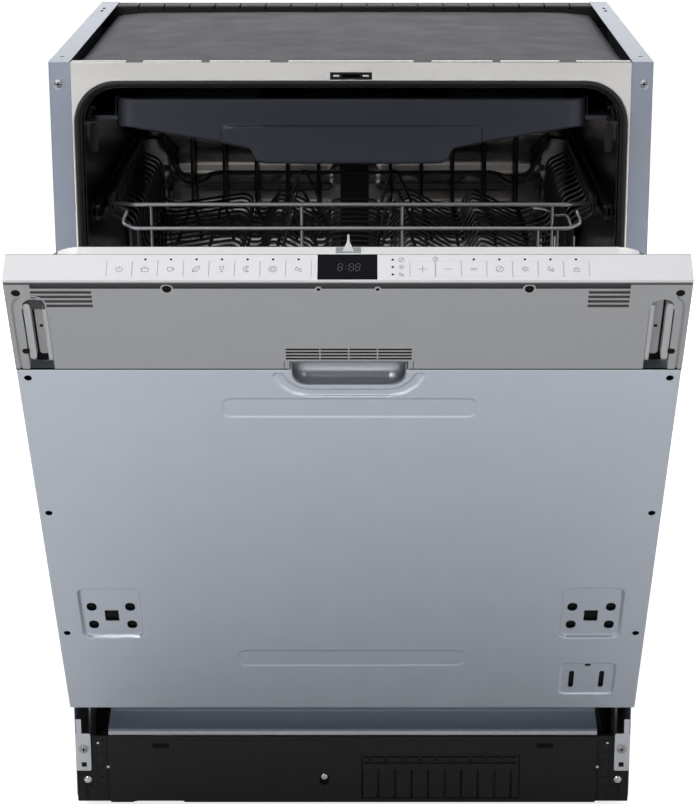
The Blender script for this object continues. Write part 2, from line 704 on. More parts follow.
class OBJECT_OT_rear(bpy.types.Operator):
    """Rear panel with pressed stiffening fields, and the slotted trim above it"""

    bl_idname = "object.dishwasher_rear"
    bl_label = "Rear panel and trim"

    def execute(self, context):
        low, high = span("rear_panel")
        fields = [(x, z, 150, 170) for x in (-190, 0, 190) for z in (230, 430)] + [(0, 660, 520,
                                                                                    150)]

        def place(x, z):
            press = max(inside(x, z, a, b, w, h, 18, 10) for a, b, w, h in fields)
            edge = 1 - smooth(min(x - low.x, high.x - x, z - low.z, high.z - z) / 1.5)
            return (x, high.y - 0.75 * press - 0.3 * edge, z)

        marks = [a + s * w / 2 for a, b, w, h in fields for s in (-1, 1)]
        rows = [b + s * h / 2 for a, b, w, h in fields for s in (-1, 1)]
        xs = lines(low.x, high.x, 18, marks + [low.x, high.x], 6, 1.5)
        zs = lines(low.z, high.z, 18, rows + [low.z, high.z], 6, 1.5)
        s = Shape().sheet(xs, zs, place)
        make("rear_sheet", s, "galvanised_steel", "rear_panel", thickness=-0.2)
        s = Shape()
        for x in (-270, -140, 0, 140, 270):
            for z in (low.z + 12, high.z - 12):
                s.lathe([(0.01, -0.75), (2.4, -0.7), (3.6, -0.3), (3.8, 0.2)],
                        (x, high.y + 0.75, z), "y", 16)
        for p in range(len(s.points)):
            a, b, c = s.points[p]
            s.points[p] = (a, 2 * high.y - b if b > high.y else b, c)
        make("rear_rivets", s, "bright_steel", "rear_panel", replaces=[])
        low, high = span("rear_trim")
        s = Shape().prism(rounded(low.y, low.z, high.y, high.z, 2), "x", low.x, high.x)
        trim = make("rear_trim_bar", s, "black_plastic", "rear_trim")
        holes = Shape()
        holes.block((low.x + 2.5, low.y + 2.5, low.z - 1),
                    (high.x - 2.5, high.y - 2.5, high.z - 2.5))
        for i in range(18):
            x = -268 + (i + 0.5) * 29.8
            holes.block((x - 0.9, low.y - 1, high.z - 5), (x + 0.9, high.y + 1, high.z + 1))
        cut(trim, holes)
        return {"FINISHED"}


class OBJECT_OT_top_mat(bpy.types.Operator):
    """Felt mat on the tub: domed, creased and lifted in front"""

    bl_idname = "object.dishwasher_top_mat"
    bl_label = "Top mat"

    def execute(self, context):
        low, high = span("top_mat")
        rise = sizes().mat_rise / MM
        notch = 24.5

        def height(x, y):
            across = 1 - (x / high.x) ** 2
            along = math.sin(math.pi * min(max((y - low.y) / (high.y - low.y), 0), 1))
            crease = noise.noise(Vector((x * 0.012, y * 0.02, 0))) * 0.8
            crease += abs(noise.noise(Vector((x * 0.03 + 7, y * 0.05, 3)))) * 0.7
            lift = smooth(1 - abs(x - 16) / 120) * smooth(1 - (y - low.y) / 46) * 2.5
            edge = smooth(min(high.x - abs(x), high.y - y) / 9)
            valley = smooth((abs(x) - 240) / 36) * 2.5 * smooth((y - 60) / 80)
            return high.z - 4.4 + edge * (rise * across * (0.35 + 0.65 * along) + crease + lift * 0.8) - (1 - edge) * 2 - valley

        def place(x, y):
            if y < 17 and abs(x) < 300:
                y = max(y,
                        13.5 + (4.5 if abs(x) < notch else 0) * smooth(1 - (abs(x) - notch + 2) / 4))
            return (x, y, min(height(x, y), high.z + 3.4))

        xs = lines(low.x, high.x, 7, [-notch, notch], 4, 1.3)
        ys = lines(13.5, high.y, 7)
        s = Shape().sheet(xs, ys, place)
        make("top_mat_felt", s, "felt", "top_mat", thickness=4)
        return {"FINISHED"}


class OBJECT_OT_tub(bpy.types.Operator):
    """Tub: front frame with its folded edge, walls with rounded corners and a ridged back"""

    bl_idname = "object.dishwasher_tub"
    bl_label = "Tub"

    def execute(self, context):
        # front frame: a flat band round the mouth with rolled edges
        rim = arched(MOUTH, 194.2, MOUTH_TOP, MOUTH_R, 14)
        inner = arched(MOUTH - 1.2, 194.2, MOUTH_TOP - 1.2, MOUTH_R - 1, 14)
        corner_x, corner_z, top = MOUTH - MOUTH_R, MOUTH_TOP - MOUTH_R, TOP - 0.7

        def outer_point(x, z):
            """The frame's outer edge beside a point of the mouth, spread evenly round the corner."""
            sign = 1 if x > 0 else -1
            if z < corner_z:
                return (sign * FRAME_HALF, z)
            if abs(x) <= corner_x:
                return (x, top)
            share = math.atan2(z - corner_z, abs(x) - corner_x) / (math.pi / 2)
            if share < 0.5:
                return (sign * FRAME_HALF, mix(corner_z, top, share * 2))
            return (sign * mix(FRAME_HALF, corner_x, share * 2 - 1), top)

        outer = [outer_point(x, z) for x, z in rim]
        s = Shape()
        rows = [[(x, 12, z) for x, z in inner], [(x, 1.2, z) for x, z in inner],
                [(mix(a, c, 0.5), 0.35, mix(b, d, 0.5)) for (a, b), (c, d) in zip(inner, rim)],
                [(x, 0, z) for x, z in rim],
                [(mix(a, c, 0.03), 0, mix(b, d, 0.03)) for (a, b), (c, d) in zip(rim, outer)],
                [(x, 0, z) for x, z in outer]]
        s.loft(rows, closed=False, caps=False)
        band = make("tub_front_frame", s, "stainless_steel", "tub", replaces=["tub"], thickness=0.5)
        low, high = span("latch_striker")
        cut(band, Shape().block((low.x - 0.3, -2, low.z - 0.3), (high.x + 0.3, 5, high.z + 0.3)))
        # rolled fold along the top edge, with three notches on each side
        s = Shape()
        spans = [(-277, -223), (-206, -148), (-140, -80), (-62, 62), (80, 140), (148, 206),
                 (223, 277)]
        for a, b in spans:
            fold = [(0.2, TOP - 0.9), (0.3, TOP - 0.3), (1.0, TOP), (11, TOP - 0.1),
                    (11.5, TOP - 0.5), (1.4, TOP - 0.8)]
            s.prism(fold, "x", a, b)
        make("tub_top_fold", s, "stainless_steel", "tub", replaces=[], bevel=0.15)
        # walls
        s = Shape()
        ring = arched(TUB_HALF, 158, TUB_TOP, 35, 10)
        ring[1:1], ring[-1:-1] = [(-TUB_HALF, 190), (-TUB_HALF, 206)], [(TUB_HALF, 206),
                                                                        (TUB_HALF, 190)]
        floor = [(x, 151 + 7 * smooth((abs(x) - 240) / 27)) for x in (240, 160, 80, 0, -80, -160,
                                                                      -240)]
        ring = ring + floor
        depths = [12, 14, 30, 60] + list(range(85, 440, 25)) + [448, 456, 462, 466, 468.2, 469]
        rows = []
        for y in depths:
            t = smooth((y - 448) / 21)
            g = 14 * (1 - math.sqrt(max(0, 1 - t * t)))
            wave = 1.1 * smooth(math.sin((y - 60) / 25 * math.pi) * 2) if 80 < y < 440 else 0
            row = []
            for x, z in ring:
                nx, nz = x / TUB_HALF, (z - 470) / 317
                side = 1 if abs(x) > 262 and 200 < z < 720 else 0
                row.append((x - math.copysign(g * min(1, abs(nx)), x) - math.copysign(wave * side,
                                                                                      x),
                            max(y, SILL + y / 100) if z < 200 else y, z - nz * g))
            rows.append(row)
        s.loft(rows, closed=True, caps=False)
        make("tub_walls", s, "wall_steel", "tub", replaces=[], thickness=-0.8)
        # ridged back
        count = sizes().ridges

        def back(x, z):
            ridge = 0.0
            for k in range(count):
                c = 240 + k * 46
                ridge = max(ridge, inside(x, z, 0, c, 470 - 10 * (k % 2), 22, 11, 12))
            gap = inside(x, z, 0, 480, 56, 640, 10, 10)
            return (x, 468.6 - 2.2 * ridge * (1 - gap), z)

        xs = lines(-253, 253, 13, [-235, 235, -28, 28], 9, 2.5)
        zs = lines(165, 773.5, 4)
        s = Shape().sheet(xs, zs, back)
        make("tub_back", s, "tub_steel", "tub", replaces=[], thickness=0.8)
        # outer shell, floor with the sump's mouth and the sill
        s = Shape()
        shell = [(x * 268.2 / TUB_HALF, z + 0.6) for x,
                 z in arched(TUB_HALF, 152, TUB_TOP, 35.5, 8)]
        shell[1:1], shell[-1:-1] = [(shell[0][0], 190), (shell[0][0], 206)], [(shell[-1][0], 206),
                                                                              (shell[-1][0], 190)]
        s.loft([[(x, max(y, SILL) if z < 200 else y, z) for x, z in shell] for y in (13, 240,
                                                                                     469.8)],
               closed=False, caps=False)
        s.prism(shell, "y", 469.2, 469.9)
        s.block((-TUB_HALF, SILL - 1, 150.2), (TUB_HALF, 39, 158))
        make("tub_shell", s, "galvanised_steel", "tub", replaces=[])
        return {"FINISHED"}


class OBJECT_OT_seal(bpy.types.Operator):
    """Door seal: a ribbed rubber profile round the mouth, and the latch striker"""

    bl_idname = "object.dishwasher_seal"
    bl_label = "Door seal and striker"

    def execute(self, context):
        s = Shape()
        # distance in from the mouth's edge and depth behind the front
        profile = [(0, 11.6), (0, 1.2), (0.6, 0.5), (2.6, 0.4), (4.2, 1.0), (5.2, 2.4), (6.2, 4.2),
                   (7.2, 4.6),
                   (7.4, 6.2), (6.2, 7.4), (5.4, 11.6)]
        s.loft([[(x, y, z) for x, z in arched(MOUTH - 0.4 - d, 195, MOUTH_TOP - 0.4 - d,
                                              MOUTH_R - 0.4 - d, 14)]
                for d, y in profile], closed=False, caps=False)
        make("door_seal", s, "black_rubber", "tub_gasket", thickness=0.3, angle=60)
        low, high = span("latch_striker")
        s = Shape().prism(rounded(low.x, low.z, high.x, high.z, 1.5), "y", low.y, high.y)
        striker = make("latch_striker_block", s, "black_plastic", "latch_striker")
        holes = Shape()
        mid = (low.z + high.z) / 2
        holes.prism(rounded(-9, mid - 1.8, 9, mid + 1.8, 0.8), "y", -1, 12)
        for x in (-14.5, 14.5):
            holes.prism(rounded(x - 4, mid - 2, x + 4, mid + 2, 0.6), "y", -1, 6)
        cut(striker, holes)
        s = Shape()
        for x in (-14.5, 14.5):
            s.prism(rounded(x - 3, mid - 0.9, x + 3, mid + 0.7, 0.4), "y", 2.0, 3.2)
        make("striker_springs", s, "bright_steel", "latch_striker", replaces=[])
        return {"FINISHED"}


class OBJECT_OT_lower_front(bpy.types.Operator):
    """Lower front panel, plinth with its slots and the grooved service flap"""

    bl_idname = "object.dishwasher_lower_front"
    bl_label = "Lower front and plinth"

    def execute(self, context):
        low, high = span("lower_front_panel")
        line = fillet([(0, low.y + 1.5, low.z + 4), (0, low.y + 1.8, low.z + 6),
                       (0, high.y - 0.6, low.z + 14.5), (0, high.y - 0.4, high.z)], 3, 4)
        s = Shape().loft([[(x, p.y, p.z) for p in line] for x in lines(low.x, high.x, 40)],
                         closed=False, caps=False)
        make("lower_front_sheet", s, "slate_steel", "lower_front_panel", thickness=-0.7)
        s = Shape().prism([(low.y, low.z), (low.y + 2.2, low.z), (low.y + 2.2, low.z + 4.4),
                           (low.y + 0.85, low.z + 4.4)],
                          "x", low.x, high.x)
        make("lower_front_lip", s, "screw_steel", "lower_front_panel", replaces=[], bevel=0.2)
        low, high = span("plinth_front")
        s = Shape().prism(rounded(low.x, low.z, high.x, high.z, 2), "y", 0.2, 2.8)
        plinth = make("plinth_board", s, "black_plastic", "plinth_front")
        flap0, flap1 = span("plinth_flap")
        holes = Shape()
        holes.prism(rounded(flap0.x - 0.5, flap0.z - 0.5, flap1.x + 0.5, flap1.z + 0.5, 1), "y", -1,
                    5)
        for x in (-207, 207):
            holes.prism(rounded(x - 9, 75, x + 9, 80.6, 2.2), "y", -1, 5)
        holes.prism(rounded(-36, 31.5, -25.6, 45.4, 5), "y", -1, 5)
        holes.prism([(-242, 9), (-180, 9), (-184, 12.5), (-192, 14.4), (-210, 14.8), (-226, 13.6),
                     (-238, 11.6)], "y", -1, 5)
        cut(plinth, holes)
        s = Shape()
        for z in (14, 84):
            s.prism([(0.0, z - 0.8), (0.4, z - 1.2), (0.4, z + 1.2), (0.0, z + 0.8)], "x",
                    low.x + 3, high.x - 3)
        for x in (-150, -90):
            s.prism(rounded(x - 0.6, 20, x + 0.6, 80, 0.5, 2), "y", 0.0, 0.5)
        make("plinth_ribs", s, "black_plastic", "plinth_front", replaces=[])
        s = Shape()
        for x in (-207, 207):
            s.prism(rounded(x - 9, 75, x + 9, 80.6, 0.8), "y", 0.15, 0.5)
        s.prism(rounded(-36, 31.5, -25.6, 45.4, 5), "y", 1.9, 2.4)
        make("plinth_depths", s, "ink", "plinth_front", replaces=[])
        s = Shape().lathe([(0.01, 0.9), (2.6, 0.9), (3.4, 1.4), (3.6, 3.4)], (-30.8, 0, 40.6), "y",
                          20)
        screw = make("plinth_adjuster", s, "bright_steel", "plinth_front", replaces=[])
        slot = Shape().block((-33, -1, 40.2), (-28.6, 1.6, 41.0)).block((-31.2, -1, 38.4),
                                                                        (-30.4, 1.6, 42.8))
        cut(screw, slot)
        # flap: ribbed upper row, flat band, grooves below and clips on top
        x0, x1, z0, z1 = flap0.x, flap1.x, flap0.z, flap1.z

        def place(x, z):
            groove = 0.0
            if z < 50:
                d = abs((x - x0 + 8.95) % 17.9 - 8.95)
                groove = 1.8 * (1 - smooth(d / 1.5)) * smooth((50 - z) / 2)
            row = 0.0
            if 56 < z < 65.5 and x0 + 3 < x < x1 - 3:
                row = 1.9 * (1 - inside(abs(x - x0 - 8.95) % 17.9 - 8.95, z, 0, 61, 15.4, 5.6, 1.6,
                                        1.2))
                row *= smooth((z - 56) / 1.2) * smooth((65.5 - z) / 1.2)
            edge = 1 - smooth(min(x - x0, x1 - x, z - z0, z1 - z) / 1.6)
            return (x, 0.1 + groove + row + 0.8 * edge, z)

        xs = lines(x0, x1, 1.1)
        zs = lines(z0, z1, 2.2, [50, 57, 61, 65], 4, 0.8)
        s = Shape().sheet(xs, zs, place)
        make("plinth_flap_face", s, "black_plastic", "plinth_flap", thickness=0.9)
        s = Shape()
        for a, b in ((x0 + 12, x0 + 26), (x1 - 26, x1 - 14)):
            s.prism(rounded(a, z1 - 1, b, z1 + 0.2, 0.4, 2), "y", 0.6, 2.4)
        make("plinth_flap_clips", s, "black_plastic", "plinth_flap", replaces=[])
        return {"FINISHED"}


class OBJECT_OT_base(bpy.types.Operator):
    """Base tray with its ribbed corner posts, feet, hinge brackets and door springs"""

    bl_idname = "object.dishwasher_base"
    bl_label = "Base, feet and hinges"

    def execute(self, context):
        dress("base_tray", "black_plastic", 0.4)
        s = Shape()
        for i in range(6):
            z = 14 + i * 12.4
            s.prism([(3.0, z), (3.2, z - 0.8), (4.2, z - 0.8), (4.2, z + 0.8), (3.2, z + 0.8)], "x",
                    265, 290)
        s.prism(rounded(266, 12, 268, 86, 0.8, 2), "y", 2.2, 4)
        s.prism(rounded(277, 12, 278.6, 86, 0.7, 2), "y", 2.2, 4)
        s.prism(rounded(289, 12, 291, 60, 0.8, 2), "y", 2.2, 4)
        for z in (26, 37, 50, 66, 80):
            for x in (271, 284):
                s.prism(rounded(x - 2.6, z - 3, x + 2.6, z + 3, 0.8, 3), "y", 2.4, 4)
        s.prism(rounded(285, 11, 298.6, 47, 1.2), "y", 3.2, 12)
        make("base_ribs", s.both_sides(), "black_plastic", "base_tray", replaces=[])
        s = Shape().block((262, 2.6, 50.5), (266.4, 5, 53)).block((273.5, 2.6, 79), (276, 5, 81))
        make("base_clips", s.both_sides(), "bright_steel", "base_tray", replaces=[])
        s = Shape().lathe([(0.01, 0.6), (1.6, 0.65), (3.2, 1.1), (4.2, 2.0), (4.3, 3.2)],
                          (287, 0, 37), "y", 24)
        screws = make("base_screws", s.both_sides(), "bright_steel", "base_tray", replaces=[])
        cross = Shape()
        for w, h in ((2.3, 0.5), (0.5, 2.3)):
            cross.block((287 - w, 0, 37 - h), (287 + w, 1.5, 37 + h))
        cut(screws, cross.both_sides())
        for node in ("front_foot_left", "front_foot_right", "rear_foot"):
            low, high = span(node)
            cx, cy = (low.x + high.x) / 2, (low.y + high.y) / 2
            profile = [(0.01, 0), (16.5, 0), (18, 1.2), (18, 4.2), (16.8, 5.6), (9, 6), (9, 9.5),
                       (5, 9.5)]
            z = 9.5
            while z < high.z - 2:
                profile += [(5, z + 0.4), (4.3, z + 1.0), (5, z + 1.6)]
                z += 1.6
            profile += [(4.3, high.z), (0.01, high.z)]
            make(node + "_turned", Shape().lathe(profile, (cx, cy, 0), "z", 24), "black_plastic",
                 node)
        dress("hinge_plates", "galvanised_steel", 0.3)
        dress("hinge_arms", "galvanised_steel", 0.3)
        low, high = span("door_springs")
        cx, cz = high.x - 6, (low.z + high.z) / 2
        turns = sizes().spring_turns
        y0, y1 = high.y - 130, high.y
        path = [(cx, y0 - 6, cz + 4.6), (cx, y0 - 1, cz + 4.6)]
        for i in range(turns * 12 + 1):
            a = i / 12 * 2 * math.pi
            path.append((cx + 5 * math.sin(a), y0 + (y1 - y0 - 1) * i / (turns * 12),
                         cz + 5 * math.cos(a)))
        make("door_springs_coils", Shape().tube(path, 0.9, 6).both_sides(), "bright_steel",
             "door_springs")
        return {"FINISHED"}


# ------------------------------------------------------------------ door

DOOR_HALF = span("door_outer_panel", "door")[1].x
DOOR_LOW = span("door_outer_panel", "door")[0].z
DOOR_TOP = span("door_outer_panel", "door")[1].z
DOOR_BACK = span("door_outer_panel", "door")[1].y


def groove_depth(x, z, path, width, depth):
    """Depth of a groove pressed along a path."""
    near = min(point_to_segment(x, z, a, b) for a, b in zip(path, path[1:]))
    return depth * smooth((width / 2 - near) / 1.8)


def point_to_segment(x, z, a, b):
    dx, dz = b[0] - a[0], b[1] - a[1]
    t = min(max(((x - a[0]) * dx + (z - a[1]) * dz) / (dx * dx + dz * dz), 0), 1)
    return math.hypot(x - a[0] - t * dx, z - a[1] - t * dz)


class OBJECT_OT_door_panel(bpy.types.Operator):
    """Door's outer panel: pressed pockets and bars, folded edges and fixing holes"""

    bl_idname = "object.dishwasher_door_panel"
    bl_label = "Door outer panel"

    def execute(self, context):
        r = sizes().bend / MM
        z0 = DOOR_LOW
        pockets = [(-241, z0 + 160, 60, 78, 8, 3.6), (241, z0 + 160, 60, 78, 8, 3.6),
                   (243.8, z0 + 51, 55.5, 52, 6, 1.6)]
        bars = [(0, z0 + 461.5, 230, 24, 7), (0, z0 + 86.5, 230, 25, 7)]
        wave = [(-63, z0 + 503), (-58, z0 + 493), (-48, z0 + 484.5), (-36, z0 + 481.5),
                (36, z0 + 481.5),
                (48, z0 + 484.5), (58, z0 + 493), (63, z0 + 503)]

        def depth(x, z):
            d = 0.0
            for a, b, w, h, c, deep in pockets:
                if abs(x - a) < w / 2 + 4 and abs(z - b) < h / 2 + 4:
                    d = max(d, deep * inside(x, z, a, b, w, h, c, 2.8))
            for a, b, w, h, c in bars:
                if abs(z - b) < h / 2 + 4:
                    d = max(d, 0.7 * inside(x, z, a, b, w, h, c, 2.4))
            if abs(x) < 76 and z > z0 + 470:
                d = max(d, groove_depth(x, z, wave, 10, 1.5))
            away = min(DOOR_HALF - abs(x), z - z0, DOOR_TOP - z)
            if away < r:
                d += r - math.sqrt(max(0, r * r - (r - away) ** 2))
            buckle = 0.25 * noise.noise(Vector((x * 0.006, z * 0.005, 4)))
            return d + max(buckle, -0.1) * smooth(away / 60)

        us = [a + s * w / 2 for a, b, w, h, c, deep in pockets for s in (-1, 1)] + [-115, 115]
        vs = [b + s * h / 2 for a, b, w, h, c, *deep in pockets + bars for s in (-1, 1)]
        us += [-DOOR_HALF, DOOR_HALF]
        vs += [z0, DOOR_TOP]
        xs = lines(-DOOR_HALF, DOOR_HALF, 12, us, 4.5, 0.75)
        xs = sorted(set(xs + lines(-76, 76, 1.3)))
        zs = lines(z0, DOOR_TOP, 12, vs, 4.5, 0.75)
        zs = sorted(set(zs + lines(z0 + 472, DOOR_TOP, 1.1)))
        s = Shape().sheet(xs, zs, lambda x, z: (x, -DOOR_T + depth(x, z), z))
        panel = make("door_panel_sheet", s, "door_steel", "door_outer_panel", space="door",
                     thickness=0.9)
        if panel.data.polygons[0].normal.y > 0:
            panel.data.flip_normals()
        holes = Shape()
        for side in (-1, 1):
            for v in (501, 315, 128.5):
                holes.lathe([(3.5, -60), (3.5, -50)], (side * 288, 0, z0 + v), "y", 24)
            for dx in (-19.3, 19.3):
                for v in (166.5, 138):
                    holes.prism(rounded(side * 241 + dx - 5, z0 + v - 6.5, side * 241 + dx + 5,
                                        z0 + v + 6.5, 4.9),
                                "y", -58, -46)
            holes.prism(rounded(side * 241 - 7, z0 + 144, side * 241 + 7, z0 + 161, 0.6), "y", -58,
                        -46)
        for x in (227.5, 258.7):
            holes.prism(rounded(x - 2.65, z0 + 35, x + 2.65, z0 + 63, 2.6), "y", -58, -46)
        holes.prism(rounded(240.3, z0 + 71.2, 246.3, z0 + 74.8, 0.8), "y", -58, -48)
        holes.prism(rounded(-51.5, z0 + 491.8, 51.5, z0 + 540, 15, 8), "y", -58, -48)
        cut(panel, holes, "door")
        s = Shape()
        for side in (-1, 1):
            s.prism(rounded(side * 241 - 28, z0 + 130, side * 241 + 28, z0 + 184, 4), "y",
                    -DOOR_T + 6.2, -DOOR_T + 7)
        s.prism(rounded(222, z0 + 32, 264, z0 + 78, 2), "y", -DOOR_T + 4.2, -DOOR_T + 5)
        make("door_hole_plates", s, "ink", "door_outer_panel", space="door", replaces=[])
        # folded edges and the lips behind them
        s = Shape()
        t = 1.0
        side = [(DOOR_HALF, -DOOR_T + r), (DOOR_HALF, DOOR_BACK - 0.5),
                (DOOR_HALF - 0.5, DOOR_BACK),
                (DOOR_HALF - 24, DOOR_BACK), (DOOR_HALF - 24, DOOR_BACK - t), (DOOR_HALF - t,
                                                                               DOOR_BACK - t),
                (DOOR_HALF - t, -DOOR_T + r)]
        s.prism(side, "z", z0 + r, DOOR_TOP - 0.2)
        s.both_sides()
        low = [(-DOOR_T + r, z0), (DOOR_BACK - 0.5, z0), (DOOR_BACK, z0 + 0.5),
               (DOOR_BACK, z0 + 24),
               (DOOR_BACK - t, z0 + 24), (DOOR_BACK - t, z0 + t), (-DOOR_T + r, z0 + t)]
        s.prism(low, "x", -DOOR_HALF + r, DOOR_HALF - r)
        for a, b in ((-DOOR_HALF + r, -53), (53, DOOR_HALF - r)):
            s.prism([(-DOOR_T + r, DOOR_TOP - t), (-42, DOOR_TOP - t), (-42, DOOR_TOP),
                     (-DOOR_T + r, DOOR_TOP)],
                    "x", a, b)
        make("door_panel_folds", s, "door_steel", "door_outer_panel", space="door", replaces=[])
        return {"FINISHED"}


class OBJECT_OT_control_housing(bpy.types.Operator):
    """Control housing with the fine ribs round its vents, arches and holes"""

    bl_idname = "object.dishwasher_control_housing"
    bl_label = "Control housing"

    def execute(self, context):
        housing = dress("control_housing", "grey_plastic", 0.5)
        face = -DOOR_T
        cuts = Shape()
        for side in (-1, 1):
            path = [(side * 292.2, 688), (side * 292.2, 768), (side * 290, 775),
                    (side * 285.5, 778.6)]
            cuts.tube(fillet([(x, face + 0.2, z) for x, z in path], 5, 4), 1.3, 8)
        cut(housing, cuts, "door")
        s = Shape()
        for side in (-1, 1):
            # an outer rib, an inner rib and a rim over the top of each arch
            def bar(a, b, front, depth, foot, head, r):
                x0, x1 = sorted((side * a, side * b))
                s.prism(rounded(x0, foot, x1, head, r, 4), "y", face + front, face + depth)

            bar(277.4, 283.4, 1.6, 11, 701, 769, 2.6)
            bar(262.9, 266.6, 0.5, 11, 701, 769, 1.6)
            path = [(side * 284.1, 764), (side * 283.8, 770)]
            path += [(side * 273.5 + x, z) for x, z in arc(0, 769, 10.3, 20, 160, 10)][::side]
            path += [(side * 263.2, 770), (side * 262.9, 764)]
            s.tube([(x, face + 0.75, z) for x, z in path], 0.75, 8)
        for side in (-1, 1):
            for x, z, r in ((side * 156.7, 788.2, 4.5), (side * 25.6, 787.9, 1.9)):
                s.lathe([(r, 1.2), (r, 0.0), (r + 0.9, -0.05), (r + 1.2, 0.4), (r + 1.2, 1.2),
                         (r, 1.2)], (x, face, z), "y", 24)
        make("housing_ribs", s, "rib_grey", "control_housing", space="door", replaces=[])
        s = Shape()
        for side in (-1, 1):
            s.prism(rounded(side * 271 - 4.2, 702, side * 271 + 4.2, 775, 3.2, 4), "y", face + 7.5,
                    face + 11)
        make("housing_channels", s, "grey_plastic", "control_housing", space="door", replaces=[],
             bevel=0.3)
        s = Shape()
        for side in (-1, 1):
            s.prism(rounded(side * 273.5 - 10.6, 690.2, side * 273.5 + 10.6, 778, 8), "y",
                    face + 11, face + 11.8)
            s.lathe([(0.01, -0.1), (1.6, -0.1), (1.6, 0.6)], (side * 270.6, face + 7.4, 737), "y",
                    16)
            s.prism(rounded(side * 286 - 3.4, 709, side * 286 + 3.4, 715.6, 3, 4), "y", face - 0.02,
                    face + 0.3)
            s.prism([(side * 53.6, 688.7), (side * 297, 688.7), (side * 297, 690),
                     (side * 53.6, 690)], "y", face - 0.03, face + 1)
            for x, z, r in ((side * 156.7, 788.2, 4.2), (side * 25.6, 787.9, 1.8),
                            (side * 287.5, 783.7, 4.0)):
                s.lathe([(0.01, 0.3), (r, 0.3), (r, 1.4)], (x, face + 0.2, z), "y", 24)
            for x0, x1 in ((52.0, 52.9), (57.3, 57.9)):
                s.prism([(side * x0, 689.5), (side * x1, 689.5), (side * x1, 699.6),
                         (side * x0, 699.6)], "y", face - 0.02, face + 0.3)
        s.prism(rounded(-57, 701, 57, 717, 1), "y", face + 0.5, face + 0.9)
        make("housing_depths", s, "ink", "control_housing", space="door", replaces=[])
        s = Shape()
        s.prism([(face + 0.25, 793.9), (face + 1.0, 793.4), (face + 1.15, 789.1),
                 (face + 0.1, 789.05), (face + 1.3, 788.9),
                 (face + 1.3, 794)], "x", -274.8, 243.8)
        s.prism(rounded(-277, 764, -220, 788.6, 1), "y", face + 0.5, face + 0.9)
        s.prism(rounded(206, 764, 246, 788.6, 1), "y", face + 0.5, face + 0.9)
        s.prism([(face - 0.03, 795.6), (face - 0.03, 793.7), (face + 0.5, 793.7),
                 (face + 0.5, 795.6)], "x", -296.5, 296.5)
        make("housing_groove", s, "recess", "control_housing", space="door", replaces=[])
        return {"FINISHED"}


class OBJECT_OT_grip_cup(bpy.types.Operator):
    """Grip cup: a lofted hollow with a rolled lip"""

    bl_idname = "object.dishwasher_grip_cup"
    bl_label = "Grip cup"

    def execute(self, context):
        low, high = span("handle_cup", "door")
        half, top, low_z, r = high.x, high.z, low.z, 17.0
        turns = [math.radians(-90 + 7.5 * k) for k in range(25)]
        section = [Vector((0, 15.4 * max(0, math.cos(a)) ** 0.9,
                           0.5 + 0.5 * math.sin(a))) for a in turns]

        def place(x, k):
            p = section[k]
            end = max(abs(x) - (half - r), 0) / r
            shrink = math.sqrt(max(0, 1 - min(end, 1) ** 2))
            foot = low_z + r * (1 - shrink)
            return (x, -DOOR_T + 0.15 + p.y * shrink ** 0.8, mix(top, foot, p.z))

        xs = lines(-half, half,
                   3) + [half - r * (1 - math.cos(k * math.pi / 24)) for k in range(12)]
        xs = sorted(set(xs + [-x for x in xs]))
        s = Shape().sheet(xs, list(range(len(section))), place)
        make("grip_cup_hollow", s, "metallic_plastic", "handle_cup", space="door", thickness=-0.8,
             angle=80)
        # rolled lip along the mouth's lower edge
        path = [(-half + 0.2, -DOOR_T, top - 4)]
        path += [(x, -DOOR_T, z) for x, z in arc(-half + r, low_z + r, r - 0.2, 180, 270, 10)]
        path += [(x, -DOOR_T, z) for x, z in arc(half - r, low_z + r, r - 0.2, 270, 360, 10)]
        path += [(half - 0.2, -DOOR_T, top - 4)]
        s = Shape().tube([(x, y + 0.5, z) for x, y, z in path], 0.55, 8)
        make("grip_cup_lip", s, "metallic_plastic", "handle_cup", space="door", replaces=[],
             angle=80)
        return {"FINISHED"}


def strokes(shape, paths, x, y, size, width=0.55, z=0.05):
    """Flat printed lines on the strip: each path is a list of points in a unit square."""
    for path in paths:
        points = [(x + (a - 0.5) * size, y + (b - 0.5) * size) for a, b in path]
        for (a, b), (c, d) in zip(points, points[1:]):
            length = math.hypot(c - a, d - b) or 1
            nx, ny = -(d - b) / length * width / 2, (c - a) / length * width / 2
            ex, ey = (c - a) / length * width / 3, (d - b) / length * width / 3
            shape.add([(a - ex - nx, b - ey - ny, z), (c + ex - nx, d + ey - ny, z),
                       (c + ex + nx, d + ey + ny, z), (a - ex + nx, b - ey + ny, z)], [(0, 1, 2, 3)])
    return shape


def circle(cx, cy, r, steps=14, start=0, end=360):
    return arc(cx, cy, r, start, end, steps)


